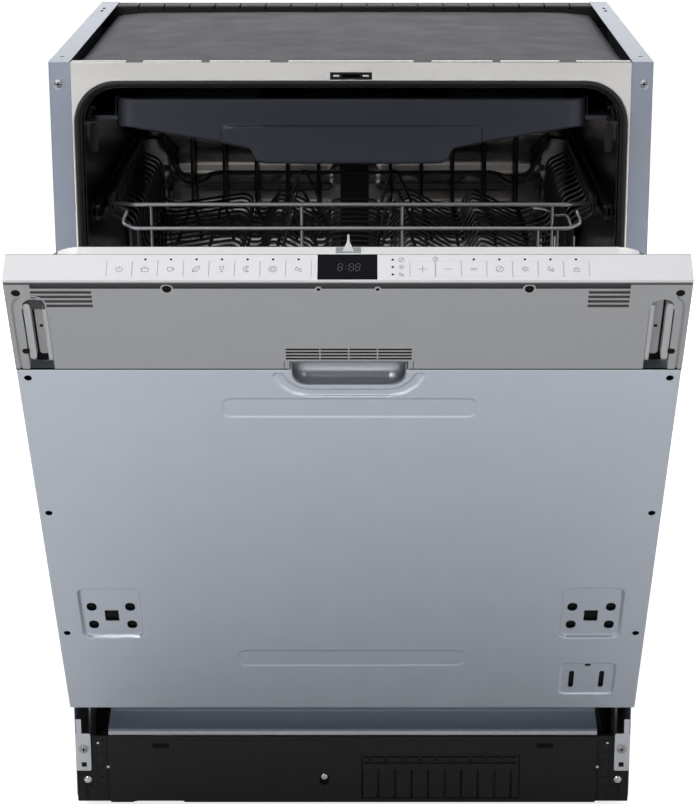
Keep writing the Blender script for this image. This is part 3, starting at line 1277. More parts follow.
ICONS = {
    "power": [circle(0.5, 0.45, 0.36, 14, 115, 425), [(0.5, 0.45), (0.5, 0.95)]],
    "pot": [[(0.12, 0.62), (0.12, 0.22), (0.2, 0.12), (0.8, 0.12), (0.88, 0.22), (0.88, 0.62),
             (0.12, 0.62)],
            [(0.0, 0.5), (0.12, 0.5)], [(0.88, 0.5), (1.0, 0.5)], [(0.3, 0.8), (0.7, 0.8)]],
    "cup": [[(0.15, 0.75), (0.2, 0.3), (0.3, 0.18), (0.6, 0.18), (0.7, 0.3), (0.75, 0.75),
             (0.15, 0.75)],
            [(0.74, 0.65), (0.92, 0.6), (0.9, 0.42), (0.71, 0.36)]],
    "leaf": [[(0.1, 0.1), (0.15, 0.55), (0.5, 0.88), (0.92, 0.92), (0.88, 0.5), (0.55, 0.16),
              (0.1, 0.1)],
             [(0.1, 0.1), (0.7, 0.7)]],
    "glass": [[(0.25, 0.92), (0.3, 0.55), (0.5, 0.42), (0.7, 0.55), (0.75, 0.92), (0.25, 0.92)],
              [(0.5, 0.42), (0.5, 0.12)], [(0.3, 0.1), (0.7, 0.1)]],
    "moon": [circle(0.45, 0.5, 0.4, 14, 50, 310) + circle(0.68, 0.5, 0.32, 10, 250, 110)],
    "clock": [circle(0.5, 0.5, 0.42, 16), [(0.5, 0.8), (0.5, 0.5), (0.72, 0.5)]],
    "drops": [[(0.3, 0.9), (0.12, 0.5), (0.2, 0.3), (0.4, 0.3), (0.48, 0.5), (0.3, 0.9)],
              [(0.7, 0.62), (0.56, 0.3), (0.62, 0.12), (0.78, 0.12), (0.84, 0.3), (0.7, 0.62)]],
    "half": [circle(0.5, 0.5, 0.42, 16), [(0.2, 0.2), (0.8, 0.8)]],
    "plate": [circle(0.5, 0.5, 0.44, 16), circle(0.5, 0.5, 0.22, 12)],
    "sun": [circle(0.5, 0.5, 0.2, 12)] + [[(0.5 + 0.3 * math.cos(a), 0.5 + 0.3 * math.sin(a)),
                                          (0.5 + 0.46 * math.cos(a), 0.5 + 0.46 * math.sin(a))]
                                         for a in [k * math.pi / 4 for k in range(8)]],
    "arrows": [[(0.1, 0.7), (0.45, 0.5), (0.1, 0.3)], [(0.5, 0.7), (0.85, 0.5), (0.5, 0.3)]],
    "plus": [[(0.5, 0.2), (0.5, 0.8)], [(0.2, 0.5), (0.8, 0.5)]],
    "minus": [[(0.2, 0.5), (0.8, 0.5)]],
    "lock": [[(0.2, 0.1), (0.8, 0.1), (0.8, 0.5), (0.2, 0.5), (0.2, 0.1)],
             circle(0.5, 0.52, 0.2, 8, 0, 180)],
}
KEY_ICONS = ["power", "pot", "cup", "leaf", "glass", "moon", "plate", "drops", "plus", "minus",
             "arrows", "half", "sun", "drops", "lock"]


class OBJECT_OT_control_strip(bpy.types.Operator):
    """Control strip with its keys, printed marks, indicator dots and display"""

    bl_idname = "object.dishwasher_control_strip"
    bl_label = "Control strip"

    def execute(self, context):
        dress("control_panel", "white_plastic", 0.08)
        keys = sorted(n for n in frame["nodes"] if n.startswith("key_"))
        for number, key in enumerate(keys):
            low, high = span(key, "strip")
            cx, cy = (low.x + high.x) / 2, (low.y + high.y) / 2
            s = Shape().prism(rounded(low.x - 0.24, low.y - 0.26, high.x + 0.24, high.y + 0.26, 0.3,
                                      3), "z", low.z, -0.01)
            make(key + "_cap", s, "white_plastic", key, space="strip", bevel=0.08)
            size = 12.0 if KEY_ICONS[number] in ("plus", "minus") else 7.4
            mark = strokes(Shape(), ICONS[KEY_ICONS[number]], cx, cy - 0.4, size, 0.5)
            make(key + "_mark", mark, "print", key, space="strip", replaces=[])
        s, dots, parting = Shape(), Shape(), Shape()
        for number, key in enumerate(keys):
            low, high = span(key, "strip")
            for x in (low.x, high.x):
                strokes(parting, [[(0.5, 0), (0.5, 1)]], x - 0.6 if x == low.x else x + 0.6, 12.6,
                        16.6, 0.55, 0.03)
            if 0 < number < 8 or number > 9:
                dots.lathe([(1.15, 0.02), (1.15, 0.06), (0.01, 0.08)],
                           ((low.x + high.x) / 2, 22.8, 0), "z", 12)
        for k in range(3):
            y = 6.2 + k * 8.1
            dots.lathe([(1.15, 0.02), (1.15, 0.06), (0.01, 0.08)], (38.6, y, 0), "z", 12)
            strokes(s, ICONS[("drops", "sun", "half")[k]], 46, y, 5.4, 0.45)
        strokes(s, ICONS["clock"], (span(keys[8], "strip")[1].x + span(keys[9], "strip")[0].x) / 2,
                23.4, 5, 0.45)
        make("strip_marks", s, "print", "control_panel", space="strip", replaces=[])
        low, high = span("control_panel", "strip")
        rim = Shape().block((low.x + 0.2, high.y - 0.5, high.z - 0.3),
                            (high.x - 0.2, high.y - 0.05, high.z + 0.03))
        make("strip_seam", rim, "recess", "control_panel", space="strip", replaces=[])
        make("strip_lines", parting, "line_grey", "control_panel", space="strip", replaces=[])
        make("strip_dots", dots, "ink", "control_panel", space="strip", replaces=[])
        low, high = span("display_window", "strip")
        s = Shape().prism(rounded(low.x, low.y, high.x, high.y, 0.8), "z", -3, 0)
        make("display_pane", s, "display_glass", "display_window", space="strip", bevel=0.2)
        s = Shape().prism(rounded(low.x - 0.4, 0.5, high.x + 0.4, 28.2, 0.5), "z", -0.2, 0.04)
        make("display_surround", s, "display_glass", "control_panel", space="strip", replaces=[])
        s = Shape()
        x0, y0, h, w = (low.x + high.x) / 2 - 8.6, 10.2, 7.8, 4.6
        for k, value in enumerate("8:88"):
            x = x0 + k * 5.6 - (1.6 if k > 1 else 0)
            if value == ":":
                for y in (0.3, 0.7):
                    segment(s, (x + 1.0 + y, y0 + h * y), (x + 1.9 + y, y0 + h * y), 0.7, 0.06)
                continue
            lean = 0.1
            corner = [(x, y0), (x + w * 0.8, y0), (x + w * 0.8 + h * lean, y0 + h),
                      (x + h * lean, y0 + h)]
            mid = [(x + h * lean / 2, y0 + h / 2), (x + w * 0.8 + h * lean / 2, y0 + h / 2)]
            for a, b in ((corner[0], corner[1]), (corner[1], mid[1]), (mid[1], corner[2]),
                         (corner[2], corner[3]),
                         (corner[3], mid[0]), (mid[0], corner[0]), (mid[0], mid[1])):
                p, q = [mix(a[i], b[i], 0.12) for i in (0, 1)], [mix(a[i], b[i], 0.88) for i in (0,
                                                                                                 1)]
                segment(s, p, q, 0.55, 0.06)
        make("display_digits", s, "digits", "display_window", space="strip", replaces=[])
        return {"FINISHED"}


def segment(shape, p, q, width, z):
    """One bar of a display digit, pointed at both ends."""
    dx, dy = q[0] - p[0], q[1] - p[1]
    length = math.hypot(dx, dy)
    ux, uy = dx / length, dy / length
    h = width / 2
    shape.add([(p[0], p[1], z), (p[0] + ux * h + uy * h, p[1] + uy * h - ux * h, z),
               (q[0] - ux * h + uy * h, q[1] - uy * h - ux * h, z), (q[0], q[1], z),
               (q[0] - ux * h - uy * h, q[1] - uy * h + ux * h, z),
               (p[0] + ux * h - uy * h, p[1] + uy * h + ux * h, z)], [(0, 1, 2, 3, 4, 5)])
    return shape


class OBJECT_OT_door_liner(bpy.types.Operator):
    """Door liner, latch, dispenser and hinge arms"""

    bl_idname = "object.dishwasher_door_liner"
    bl_label = "Door liner and fittings"

    def execute(self, context):
        back = DOOR.inverted()

        def settle(point):
            """The liner's upper edge falls away more steeply from the strip."""
            p = back @ point
            drop = 3.5 * smooth((p.z - 765) / 18) * min(max((p.y + 26.3) / 16, 0), 1)
            return DOOR @ Vector((p.x, p.y, p.z - drop))

        liner = dress("door_liner", "liner_steel", 0.6, reshape=settle)
        liner.data.materials.append(paint("liner_edge"))
        for face in liner.data.polygons:
            if (back @ (liner.matrix_world @ face.center)).z > 785:
                face.material_index = 1
        dress("detergent_dispenser", "grey_plastic", 0.8)
        dress("dispenser_lid", "grey_plastic", 0.6)
        dress("rinse_aid_cap", "black_plastic", 0.6)
        low, high = span("door_latch", "door")
        s = Shape().prism([(low.y + 0.4, 792), (low.y + 0.4, 802.3), (-20, 800.6), (-9, 795.2),
                           (-8.6, 791), (-12, 789.5)],
                          "x", low.x, high.x)
        make("latch_block", s, "latch_grey", "door_latch", space="door", bevel=0.4)
        s = Shape()
        rings = []
        for y, w, z, t in ((-21, 6.4, 800.6, 1.0), (-13, 4.6, 797.6, 1.8), (-8, 2.6, 796.8, 2.0),
                           (-4.4, 1.4, 797.2, 1.7),
                           (-1.4, 1.0, 800.2, 1.2), (0.3, 0.9, 800.8, 1.0), (0.9, 0.4, 800.8, 0.6)):
            rings.append([(-w, y, z - t), (w, y, z - t), (w * 0.8, y, z + t * 0.6), (0, y, z + t),
                          (-w * 0.8, y, z + t * 0.6)])
        s.loft(rings)
        make("latch_tongue", s, "light_plastic", "door_latch", space="door", replaces=[],
             bevel=0.15)
        dress("hinge_arms", "galvanised_steel", 0.3)
        low, high = span("dispenser_lid", "door")
        s = Shape()
        for k in range(5):
            z = low.z + 12 + k * 3
            s.prism([(high.y - 0.1, z - 0.7), (high.y + 0.4, z - 0.4), (high.y + 0.4, z + 0.4),
                     (high.y - 0.1, z + 0.7)],
                    "x", low.x + 18, high.x - 18)
        make("dispenser_lid_grip", s, "grey_plastic", "dispenser_lid", space="door", replaces=[])
        low, high = span("rinse_aid_cap", "door")
        cx, cz = (low.x + high.x) / 2, (low.z + high.z) / 2
        s = Shape()
        for k in range(24):
            a = k * math.pi / 12
            s.lathe([(0.9, low.y + 1), (0.9, high.y - 1.5), (0.5, high.y - 1)],
                    (cx + 13.6 * math.cos(a), 0, cz + 13.6 * math.sin(a)), "y", 8)
        make("rinse_aid_cap_grip", s, "black_plastic", "rinse_aid_cap", space="door", replaces=[])
        return {"FINISHED"}


# ------------------------------------------------------------------ baskets

def wire_rect(s, x0, x1, y0, y1, z, r, wire, steps=6):
    """A closed rectangular wire with round corners."""
    return s.tube([(x, y, z) for x, y in rounded(x0, y0, x1, y1, r, steps)], wire, 10, loop=True)


class OBJECT_OT_cutlery_tray(bpy.types.Operator):
    """Cutlery tray: moulded shell with its embossed field and slatted floor"""

    bl_idname = "object.dishwasher_cutlery_tray"
    bl_label = "Cutlery tray"

    def execute(self, context):
        low, high = span("cutlery_tray")
        top, bottom, half = high.z, low.z, 237
        edge = [(-half, top), (-half, 747), (-235.5, 744.5), (-223, 743), (-135, 728),
                (-104, 721.5), (-101, 719),
                (-99.5, 714), (-97, 709), (-90, bottom + 0.4), (-85, bottom)]
        lower = edge[1:] + [(-x, z) for x, z in reversed(edge[1:])]

        def floor_at(x):
            for (a, b), (c, d) in zip(lower, lower[1:]):
                if a <= x <= c:
                    return mix(b, d, (x - a) / (c - a) if c > a else 0)
            return 747

        front = low.y
        xs = sorted(set(lines(-half, half, 6, [-133, 133, -104, 104, -97, 97, -half, half], 4,
                              1.0)))
        vs = [0, 0.012, 0.03, 0.06] + [0.06 + 0.9 * k / 60 for k in range(1, 61)] + [0.98, 0.992,
                                                                                     1.0]
        vs = sorted(set(vs))

        def place(x, v):
            z = mix(top, floor_at(x), v)
            field = inside(x, z, 0, 722, 264, 46, 7, 2)
            away = min(top - z, (z - floor_at(x)) * 0.9)
            d = 3 - math.sqrt(max(0, 9 - (3 - min(away, 3)) ** 2)) if away < 3 else 0
            end = half - abs(x)
            if end < 13:
                d = max(d, 13 - math.sqrt(max(0, 169 - (13 - end) ** 2)))
            return (x, front + 2.6 + d - 2.0 * field, z)

        s = Shape().sheet(xs, vs, place)
        make("tray_front", s, "slate_plastic", "cutlery_tray", thickness=2.2)
        ends = Shape()
        d = high.y - low.y
        ends.loft([[(x, y, z) for x, z in [(-half, top - 1)] + lower + [(half, top - 1)]]
                   for y in (front + 13, front + d * 0.5, high.y - 2)], closed=False, caps=False)
        ends.prism([(-half, top - 1)] + lower + [(half, top - 1)], "y", high.y - 2.5, high.y)
        make("tray_shell", ends, "slate_plastic", "cutlery_tray", replaces=[], thickness=-2.0)
        s = Shape()
        for side in (-1, 1):
            s.prism([(side * (half + 2.4), top - 25), (side * (half + 2.4), top - 1),
                     (side * (half + 1.8), top - 0.4),
                     (side * (half - 2), top - 0.2), (side * (half - 2), top - 2), (side * half,
                                                                                    top - 3),
                     (side * half, top - 25)], "y", front + 14, high.y - 1)
        make("tray_edges", s, "slate_plastic", "cutlery_tray", replaces=[], bevel=0.2)
        # slats across the tray that part the cutlery
        s = Shape()
        for k in range(16):
            y = front + 24 + k * 23
            for x0, x1, z in ((-228, -104, 741), (104, 228, 741), (-96, 96, 712)):
                s.prism([(y, z), (y + 1.8, z), (y + 1.8, z + 9), (y + 0.9, z + 10), (y, z + 9)],
                        "x", x0, x1)
        make("tray_slats", s, "slate_plastic", "cutlery_tray", replaces=[])
        s = Shape()
        for side in (-1, 1):
            s.prism(rounded(side * 249.5 - 12.5, 750, side * 249.5 + 12.5, 754, 0.8, 3), "y",
                    front + 12, high.y - 4)
        make("tray_runners", s, "slate_plastic", "cutlery_tray", replaces=[])
        s = Shape()
        for side in (-1, 1):
            s.prism(rounded(side * 261 - 4, 717, side * 261 + 4, 747, 3.6), "y", 41.5, 45)
        make("guide_end_caps", s, "recess", "rack_guides", replaces=[], bevel=0.5)
        return {"FINISHED"}


def tine_fan(s, x0, y0, y1, z, height, pitch, lean, wire, side=1):
    """Rows of leaning tines that run front to back."""
    count = int((y1 - y0) / pitch)
    for k in range(count + 1):
        y = y0 + k * pitch
        s.tube([(x0, y, z), (x0 + side * 1.5, y, z + 3), (x0 + lean, y, z + height)], wire, 6)
    s.tube([(x0, y0 - 4, z), (x0, y1 + 4, z)], wire * 1.15, 6)
    return s


class OBJECT_OT_upper_rack(bpy.types.Operator):
    """Upper basket: bright front bars, closely set bent cross wires and its side hangers"""

    bl_idname = "object.dishwasher_upper_rack"
    bl_label = "Upper basket"

    def execute(self, context):
        low, high = span("upper_rack")
        y0, y1, top, bottom = low.y + 2.4, high.y - 2.4, high.z - 2.2, 503
        w, t = sizes().wire / MM, sizes().tine / MM
        bright, dark = Shape(), Shape()
        for side in (-1, 1):
            # front ends of the top wire bend back and out, then run on as dark side wires
            bright.tube(fillet([(0, y0, top), (side * 224, y0, top), (side * 236, y0 + 9, top - 1),
                                (side * 249, y0 + 24, top - 3),
                                (side * 250, y0 + 52, top + 1)], 8, 4), w, 10)
            bright.tube(fillet([(0, y0, top - 25), (side * 224, y0, top - 25),
                                (side * 236, y0 + 5, top - 21),
                                (side * 234, y0 + 4, top - 13), (side * 231, y0 + 6, top - 8), (side * 244, y0 + 22, top - 5)],
                               5, 4), w * 0.95, 10)
            dark.tube(fillet([(side * 250, y0 + 50, top), (side * 250, y1 - 20, top),
                              (side * 232, y1, top), (side * 205, y1, 606),
                              (side * 182, y1, 606), (side * 168, y1, 618), (0, y1, 618)], 8, 3), w * 0.9, 8)
            dark.tube([(side * 228, y0 + 4, top - 26), (side * 226, y0 + 6, top - 90),
                       (side * 222, y0 + 8, 520)], t * 1.3, 6)
            dark.tube([(side * 220, y0 + 4, top - 26), (side * 219, y0 + 6, top - 90),
                       (side * 216, y0 + 8, 520)], t * 1.3, 6)
            for x in (206, 51.5):
                bright.tube([(side * x, y0 + 0.6, top + 1.6), (side * x, y0 + 3.4, top - 12),
                             (side * x, y0 + 3.4, 520),
                             (side * x, y0 + 14, 512)], w * 0.75, 8)
            # rear wall's uprights, which bend forward into the floor
            for x in (43, 80, 117, 155, 193):
                dark.tube(fillet([(side * x, y1 - 3, top), (side * x, y1 - 3, 578),
                                  (side * x + 9, y1 - 16, 560),
                                  (side * x + 12, y1 - 40, 545)], 6, 3), w * 0.9, 8)
            # supports like a tent beside the middle
            x = side * 52 - 8
            for k in range(3):
                y = y0 + 60 + k * 110
                dark.tube(fillet([(x - 17, y, 590), (x - 3, y, 640), (x + 4, y + 4, 643),
                                  (x + 22, y + 6, 606), (x + 24, y + 6, 590)],
                                 5, 3), t * 1.2, 6)
        # cross wires, all bent alike: stepped sides, then low ridges and valleys
        side_bend = [(250, top - 1), (249, top - 14), (243, top - 17), (232, top - 22),
                     (228, top - 27), (227, 600), (222, 588)]
        left = [(208, 586), (130, 598), (121, 594), (119, 579), (103, 579), (98, 588), (87, 602),
                (79, 600), (48, 584),
                (43, 578), (31, 578), (26, 590)]
        right = [(0, 592), (26, 590), (30, 578), (42, 578), (49, 590), (61, 603), (69, 601),
                 (103, 582), (108, 578), (124, 578),
                 (129, 590), (137, 603), (144, 601), (186, 580), (197, 578), (210, 584)]
        wave = [(-x, z) for x, z in side_bend + left] + right + side_bend[::-1]
        pitch = sizes().rack_pitch / MM
        count = int((y1 - y0 - 30) / pitch)
        for k in range(count + 1):
            y = y0 + 20 + k * pitch
            dark.tube(fillet([(x, y, z) for x, z in wave], 6, 3), t, 8)

        def wave_at(x):
            for (a, b), (c, d) in zip(wave, wave[1:]):
                if a <= x < c:
                    return mix(b, d, (x - a) / (c - a))
            return wave[0][1]

        for x in (-193, -155, -117, -80, -43, 43, 80, 117, 155, 193):
            dark.tube([(x, y0 + 12, wave_at(x) - 3), (x, y1 - 10, wave_at(x) - 3)], t * 1.2, 6)
        # floor below the wave
        for k in range(9):
            y = y0 + 8 + k * (y1 - y0 - 16) / 8
            dark.tube(fillet([(-227, y, 604), (-226, y, 520), (-206, y, bottom), (206, y, bottom),
                              (226, y, 520), (227, y, 604)],
                             10, 3), t * 1.1, 6)
        for x in (-190, -130, -70, 0, 70, 130, 190):
            dark.tube([(x, y0 + 8, bottom - 1.5), (x, y1 - 8, bottom - 1.5)], t * 1.1, 6)
        for x in (-227, 227):
            dark.tube([(x, y0 + 8, 560), (x, y1 - 8, 560)], t * 1.1, 6)
        # curved cup holder at the right between the front bars, with loops below it
        bright.tube(fillet([(186, y0 + 3, top - 4), (196, y0 + 6, top - 5), (204, y0 + 9, top - 9),
                            (210, y0 + 10, top - 14),
                            (222, y0 + 8, top - 12), (226, y0 + 5, top - 24)], 5, 4), t, 8)
        for x in (192, 212):
            bright.tube(fillet([(x, y0 + 4, top - 26), (x, y0 + 6, top - 52),
                                (x + 5, y0 + 6, top - 58), (x + 12, y0 + 6, top - 58),
                                (x + 17, y0 + 6, top - 52), (x + 17, y0 + 4, top - 34)], 6, 4), t * 0.9, 8)
        make("upper_rack_bright", bright, "coated_wire", "upper_rack")
        make("upper_rack_dark", dark, "dark_wire", "upper_rack", replaces=[])
        # side hangers with end caps
        s = Shape()
        for side in (-1, 1):
            s.prism(rounded(side * 254.4 - 2.8, high.z - 17, side * 254.4 + 2.8, high.z - 4, 1.2),
                    "y", low.y + 60, high.y - 16)
        make("upper_rack_hangers", s, "dark_wire", "upper_rack", replaces=[], bevel=0.4)
        dress("upper_rails", "dark_wire", 0.5)
        s = Shape()
        cy = (span("upper_spray_arm")[0].y + span("upper_spray_arm")[1].y) / 2
        s.lathe([(8.2, low.z), (15.5, low.z), (16, low.z + 1), (16, low.z + 3.6), (8.2, low.z + 4)],
                (0, cy, 0), "z", 28)
        s.tube([(-60, cy, low.z + 14), (-18, cy, low.z + 4), (18, cy, low.z + 4),
                (60, cy, low.z + 14)], 2, 8)
        make("upper_rack_hub", s, "dark_wire", "upper_rack", replaces=[])
        return {"FINISHED"}


class OBJECT_OT_lower_rack(bpy.types.Operator):
    """Lower basket: bent wires, tine rows and its four wheels"""

    bl_idname = "object.dishwasher_lower_rack"
    bl_label = "Lower basket"

    def execute(self, context):
        low, high = span("lower_rack")
        y0, y1, top, half, bottom = low.y + 2.4, high.y - 2.4, high.z - 2.2, 246, 188
        w, t = sizes().wire / MM, sizes().tine / MM
        bright, dark = Shape(), Shape()
        for z, inset in ((top, 0), (top - 40, 3), (bottom + 24, 6)):
            wire_rect(bright if z == top else dark, -half + inset, half - inset, y0 + inset,
                      y1 - inset, z, 18, w if z == top else t * 1.3)
        count = int((y1 - y0) / 25)
        for k in range(count + 1):
            y = y0 + 8 + k * (y1 - y0 - 16) / count
            dark.tube(fillet([(-half, y, top), (-half + 3, y, bottom + 22), (-half + 22, y, bottom),
                              (half - 22, y, bottom),
                              (half - 3, y, bottom + 22), (half, y, top)], 12, 3), t * 1.2, 6)
        for k in range(17):
            x = -224 + k * 28
            dark.tube(fillet([(x, y0, top), (x, y0 + 3, bottom + 22), (x, y0 + 22, bottom),
                              (x, y1 - 22, bottom),
                              (x, y1 - 3, bottom + 22), (x, y1, top)], 12, 3), t * 1.2, 6)
        pitch = sizes().tine_pitch / MM * 2
        for x, lean in ((-186, 12), (-124, 12), (-62, 12), (62, -12), (124, -12), (186, -12)):
            tine_fan(dark, x, y0 + 24, y1 - 26, bottom + 2, 84, pitch, lean, t * 1.1,
                     1 if lean > 0 else -1)
        make("lower_rack_bright", bright, "coated_wire", "lower_rack")
        make("lower_rack_dark", dark, "dark_wire", "lower_rack", replaces=[])
        s = Shape()
        wheels = {}
        for node in ("lower_front_wheels", "lower_rear_wheels"):
            a, b = span(node)
            wheels[node] = ((a.y + b.y) / 2, (a.z + b.z) / 2, b.x, (b.z - a.z) / 2)
        for cy, cz, x1, r in wheels.values():
            s.lathe([(0.01, 244), (2.9, 244), (2.9, x1 - 0.4), (0.01, x1 - 0.2)], (0, cy, cz), "x",
                    16)
            s.prism(rounded(cy - 8, cz - 5, cy + 8, cz + 18, 3), "x", 244, 249.5)
        make("lower_rack_hangers", s.both_sides(), "rail_steel", "lower_rack", replaces=[],
             bevel=0.4)
        for node, (cy, cz, x1, r) in wheels.items():
            x0 = x1 - 8
            s = Shape().lathe([(r - 2.2, x0), (r - 0.5, x0), (r, x0 + 0.6), (r, x1 - 0.6),
                               (r - 0.5, x1), (r - 2.2, x1),
                               (r - 2.4, x1 - 0.4), (r - 2.4, x0 + 0.4), (r - 2.2, x0)], (0, cy, cz), "x", 32)
            s.lathe([(3.2, x0 + 0.2), (5.4, x0 + 0.2), (5.6, x0 + 0.6), (5.6, x1 - 0.6),
                     (5.4, x1 - 0.2), (3.2, x1 - 0.2),
                     (3.2, x0 + 0.2)], (0, cy, cz), "x", 20)
            for k in range(6):
                a = k * math.pi / 3
                d, n = Vector((0, math.cos(a), math.sin(a))), Vector((0, -math.sin(a), math.cos(a)))
                c = Vector((0, cy, cz))
                ring = [c + d * 5 - n * 1.1, c + d * (r - 2) - n * 0.9, c + d * (r - 2) + n * 0.9,
                        c + d * 5 + n * 1.1]
                s.loft([[p + Vector((x, 0, 0)) for p in ring] for x in (x0 + 2, x1 - 2)])
            make(node + "_spoked", s.both_sides(), "grey_plastic", node, weld=False)
        return {"FINISHED"}


class OBJECT_OT_water_parts(bpy.types.Operator):
    """Spray arms, filter, salt cap, pumps and valves"""

    bl_idname = "object.dishwasher_water_parts"
    bl_label = "Water parts"

    def execute(self, context):
        for node in ("upper_spray_arm", "lower_spray_arm"):
            dress(node, "black_plastic", 1.2)
            low, high = span(node)
            s = Shape()
            for k, side in enumerate((-1, 1)):
                for n in range(6):
                    x = side * (48 + n * 25)
                    s.lathe([(3.4, high.z - 4.2), (3.2, high.z - 3.4), (1.4, high.z - 3.2),
                             (1.2, high.z - 4.4)],
                            (x, 245 + (n % 2 * 2 - 1) * 8, 0), "z", 12)
            make(node + "_jets", s, "grey_plastic", node, replaces=[])
        for node, width in (("sump", 0.8), ("circulation_pump", 1.2), ("spray_feed", 1.0)):
            dress(node, "black_plastic", width)
        dress("filter", "grey_plastic", 0.4)
        dress("salt_cap", "grey_plastic", 0.8)
        dress("softener", "white_plastic", 2.0)
        dress("inlet_valve", "white_plastic", 0.8)
        dress("rack_guides", "black_plastic", 0.5)
        low, high = span("circulation_pump")
        cy, cz = (low.y + high.y) / 2, (low.z + high.z) / 2
        s = Shape()
        for k in range(7):
            x = low.x + 60 + k * 16
            s.lathe([(33, x), (33.8, x + 1), (33.8, x + 3), (33, x + 4), (33, x)], (0, cy, cz), "x",
                    36)
        make("pump_ribs", s, "black_plastic", "circulation_pump", replaces=[])
        low, high = span("salt_cap")
        cx, cy = (low.x + high.x) / 2, (low.y + high.y) / 2
        s = Shape()
        for k in range(30):
            a = k * math.pi / 15
            s.lathe([(1.2, low.z + 1), (1.2, high.z - 3), (0.6, high.z - 2.2)],
                    (cx + 32 * math.cos(a), cy + 32 * math.sin(a), 0), "z", 8)
        make("salt_cap_grip", s, "grey_plastic", "salt_cap", replaces=[])
        return {"FINISHED"}


# ------------------------------------------------------------------ stage

def lamp(name, place, aim, size, power):
    """A soft square light turned towards a point."""
    data = bpy.data.lights.new(name, "AREA")
    data.shape, data.size, data.size_y = "RECTANGLE", size[0], size[1]
    data.energy = power
    obj = bpy.data.objects.new(name, data)
    obj.location = place
    obj.rotation_euler = (Vector(aim) - Vector(place)).to_track_quat("-Z", "Y").to_euler()
    obj.visible_camera = False
    bpy.context.scene.collection.objects.link(obj)
    return obj


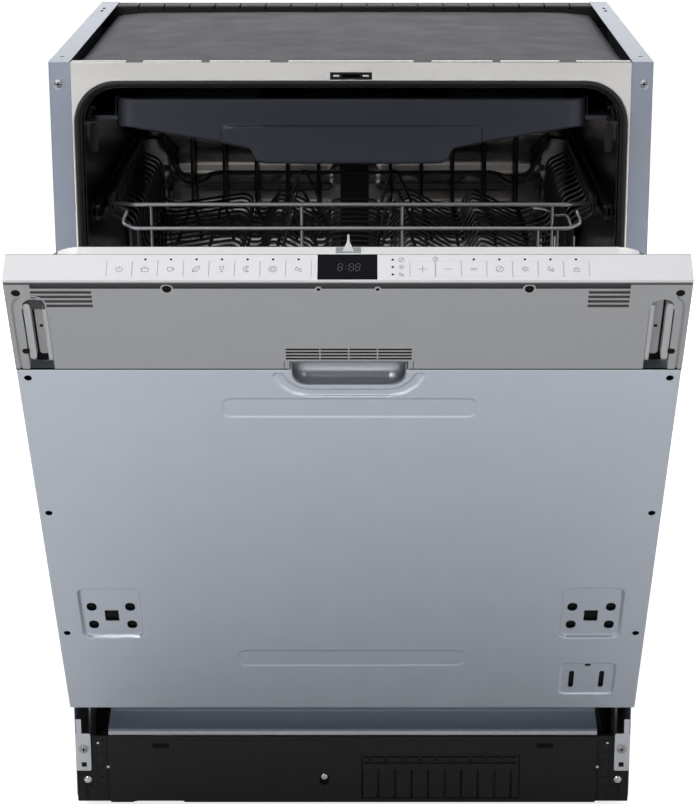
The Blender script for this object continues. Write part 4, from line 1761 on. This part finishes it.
class OBJECT_OT_stage(bpy.types.Operator):
    """White floor, soft studio lights and the camera"""

    bl_idname = "object.dishwasher_stage"
    bl_label = "Stage"

    def execute(self, context):
        scene = context.scene
        world = bpy.data.worlds.new("studio")
        scene.world = world
        world.use_nodes = True
        tree = world.node_tree
        back = tree.nodes["Background"]
        path = tree.nodes.new("ShaderNodeLightPath")
        most = tree.nodes.new("ShaderNodeMath")
        most.operation = "MAXIMUM"
        tree.links.new(path.outputs["Is Camera Ray"], most.inputs[0])
        tree.links.new(path.outputs["Is Transmission Ray"], most.inputs[1])
        level = tree.nodes.new("ShaderNodeMapRange")
        tree.links.new(most.outputs[0], level.inputs["Value"])
        level.inputs["To Min"].default_value = 0.22
        level.inputs["To Max"].default_value = 1.0
        tree.links.new(level.outputs[0], back.inputs["Strength"])
        back.inputs["Color"].default_value = (1, 1, 1, 1)

        p = Paint("studio_floor")
        p.set(Roughness=0.9, Specular_IOR_Level=0.0)
        p.feed(p.shader.inputs["Base Color"], (0.92, 0.92, 0.92))
        white = p.tree.nodes.new("ShaderNodeEmission")
        both = p.tree.nodes.new("ShaderNodeMixShader")
        seen = p.tree.nodes.new("ShaderNodeLightPath")
        p.tree.links.new(seen.outputs["Is Camera Ray"], both.inputs[0])
        p.tree.links.new(p.shader.outputs[0], both.inputs[1])
        extra = p.tree.nodes.new("ShaderNodeAddShader")
        p.tree.links.new(p.shader.outputs[0], extra.inputs[0])
        p.tree.links.new(white.outputs[0], extra.inputs[1])
        white.inputs["Strength"].default_value = 0.8
        p.tree.links.new(extra.outputs[0], both.inputs[2])
        p.tree.links.new(both.outputs[0], p.out.inputs[0])
        mesh = bpy.data.meshes.new("studio_floor")
        mesh.from_pydata([(-30, -12, 0), (30, -12, 0), (30, 60, 0), (-30, 60, 0)], [],
                         [(0, 1, 2, 3)])
        floor = bpy.data.objects.new("studio_floor", mesh)
        mesh.materials.append(p.material)
        scene.collection.objects.link(floor)

        lights = [
            lamp("key_light", (-0.9, -1.9, 1.5), (0, -0.3, 0.62), (0.8, 0.8), 10),
            lamp("top_light", (-0.3, -0.45, 3.0), (0, -0.2, 0.6), (2.6, 2.4), 46),
            lamp("fill_light", (1.5, -1.9, 1.3), (0, -0.2, 0.6), (0.8, 0.8), 3),
            lamp("back_light", (0.0, 3.0, 1.35), (0, 0, 0.8), (3.2, 1.0), 19),
            lamp("floor_light", (0, -3.0, 2.8), (0, -3.0, 0), (4, 2), 70),
        ]
        lights[-1].data.spread = math.radians(70)

        s = sizes()
        data = bpy.data.cameras.new("camera")
        data.lens, data.sensor_width, data.shift_x = s.lens, 36, s.shift
        camera = bpy.data.objects.new("camera", data)
        place = s.camera_place
        camera.location = (place[0], FRONT + place[1], place[2])
        camera.rotation_euler = (math.pi / 2 - s.camera_pitch, 0, 0)
        scene.collection.objects.link(camera)
        scene.camera = camera
        scene.view_settings.view_transform = "Standard"
        return {"FINISHED"}


# ------------------------------------------------------------------ panel and run

PIECES = [
    OBJECT_OT_side_panels, OBJECT_OT_frame_screws, OBJECT_OT_rear, OBJECT_OT_top_mat, OBJECT_OT_tub,
    OBJECT_OT_seal, OBJECT_OT_lower_front, OBJECT_OT_base, OBJECT_OT_door_panel,
    OBJECT_OT_control_housing, OBJECT_OT_grip_cup, OBJECT_OT_control_strip, OBJECT_OT_door_liner,
    OBJECT_OT_cutlery_tray, OBJECT_OT_upper_rack, OBJECT_OT_lower_rack, OBJECT_OT_water_parts,
    OBJECT_OT_stage,
]


class VIEW3D_PT_dishwasher(bpy.types.Panel):
    """Buttons for each piece, and the sizes and colours that they use"""

    bl_idname = "VIEW3D_PT_dishwasher"
    bl_label = "Dishwasher"
    bl_space_type = "VIEW_3D"
    bl_region_type = "UI"
    bl_category = "Dishwasher"

    def draw(self, context):
        column = self.layout.column(align=True)
        for piece in PIECES:
            column.operator(piece.bl_idname)
        for group in (context.scene.dishwasher_sizes, context.scene.dishwasher_colours):
            box = self.layout.box()
            for key in group.__annotations__:
                box.prop(group, key)


CLASSES = [DishwasherSizes, DishwasherColours, *PIECES, VIEW3D_PT_dishwasher]


def register():
    for c in CLASSES:
        bpy.utils.register_class(c)
    bpy.types.Scene.dishwasher_sizes = bpy.props.PointerProperty(type=DishwasherSizes)
    bpy.types.Scene.dishwasher_colours = bpy.props.PointerProperty(type=DishwasherColours)


def unregister():
    del bpy.types.Scene.dishwasher_colours
    del bpy.types.Scene.dishwasher_sizes
    for c in reversed(CLASSES):
        bpy.utils.unregister_class(c)


def main():
    register()
    for piece in PIECES:
        getattr(bpy.ops.object, piece.bl_idname.split(".")[1])()


if __name__ == "__main__":
    main()
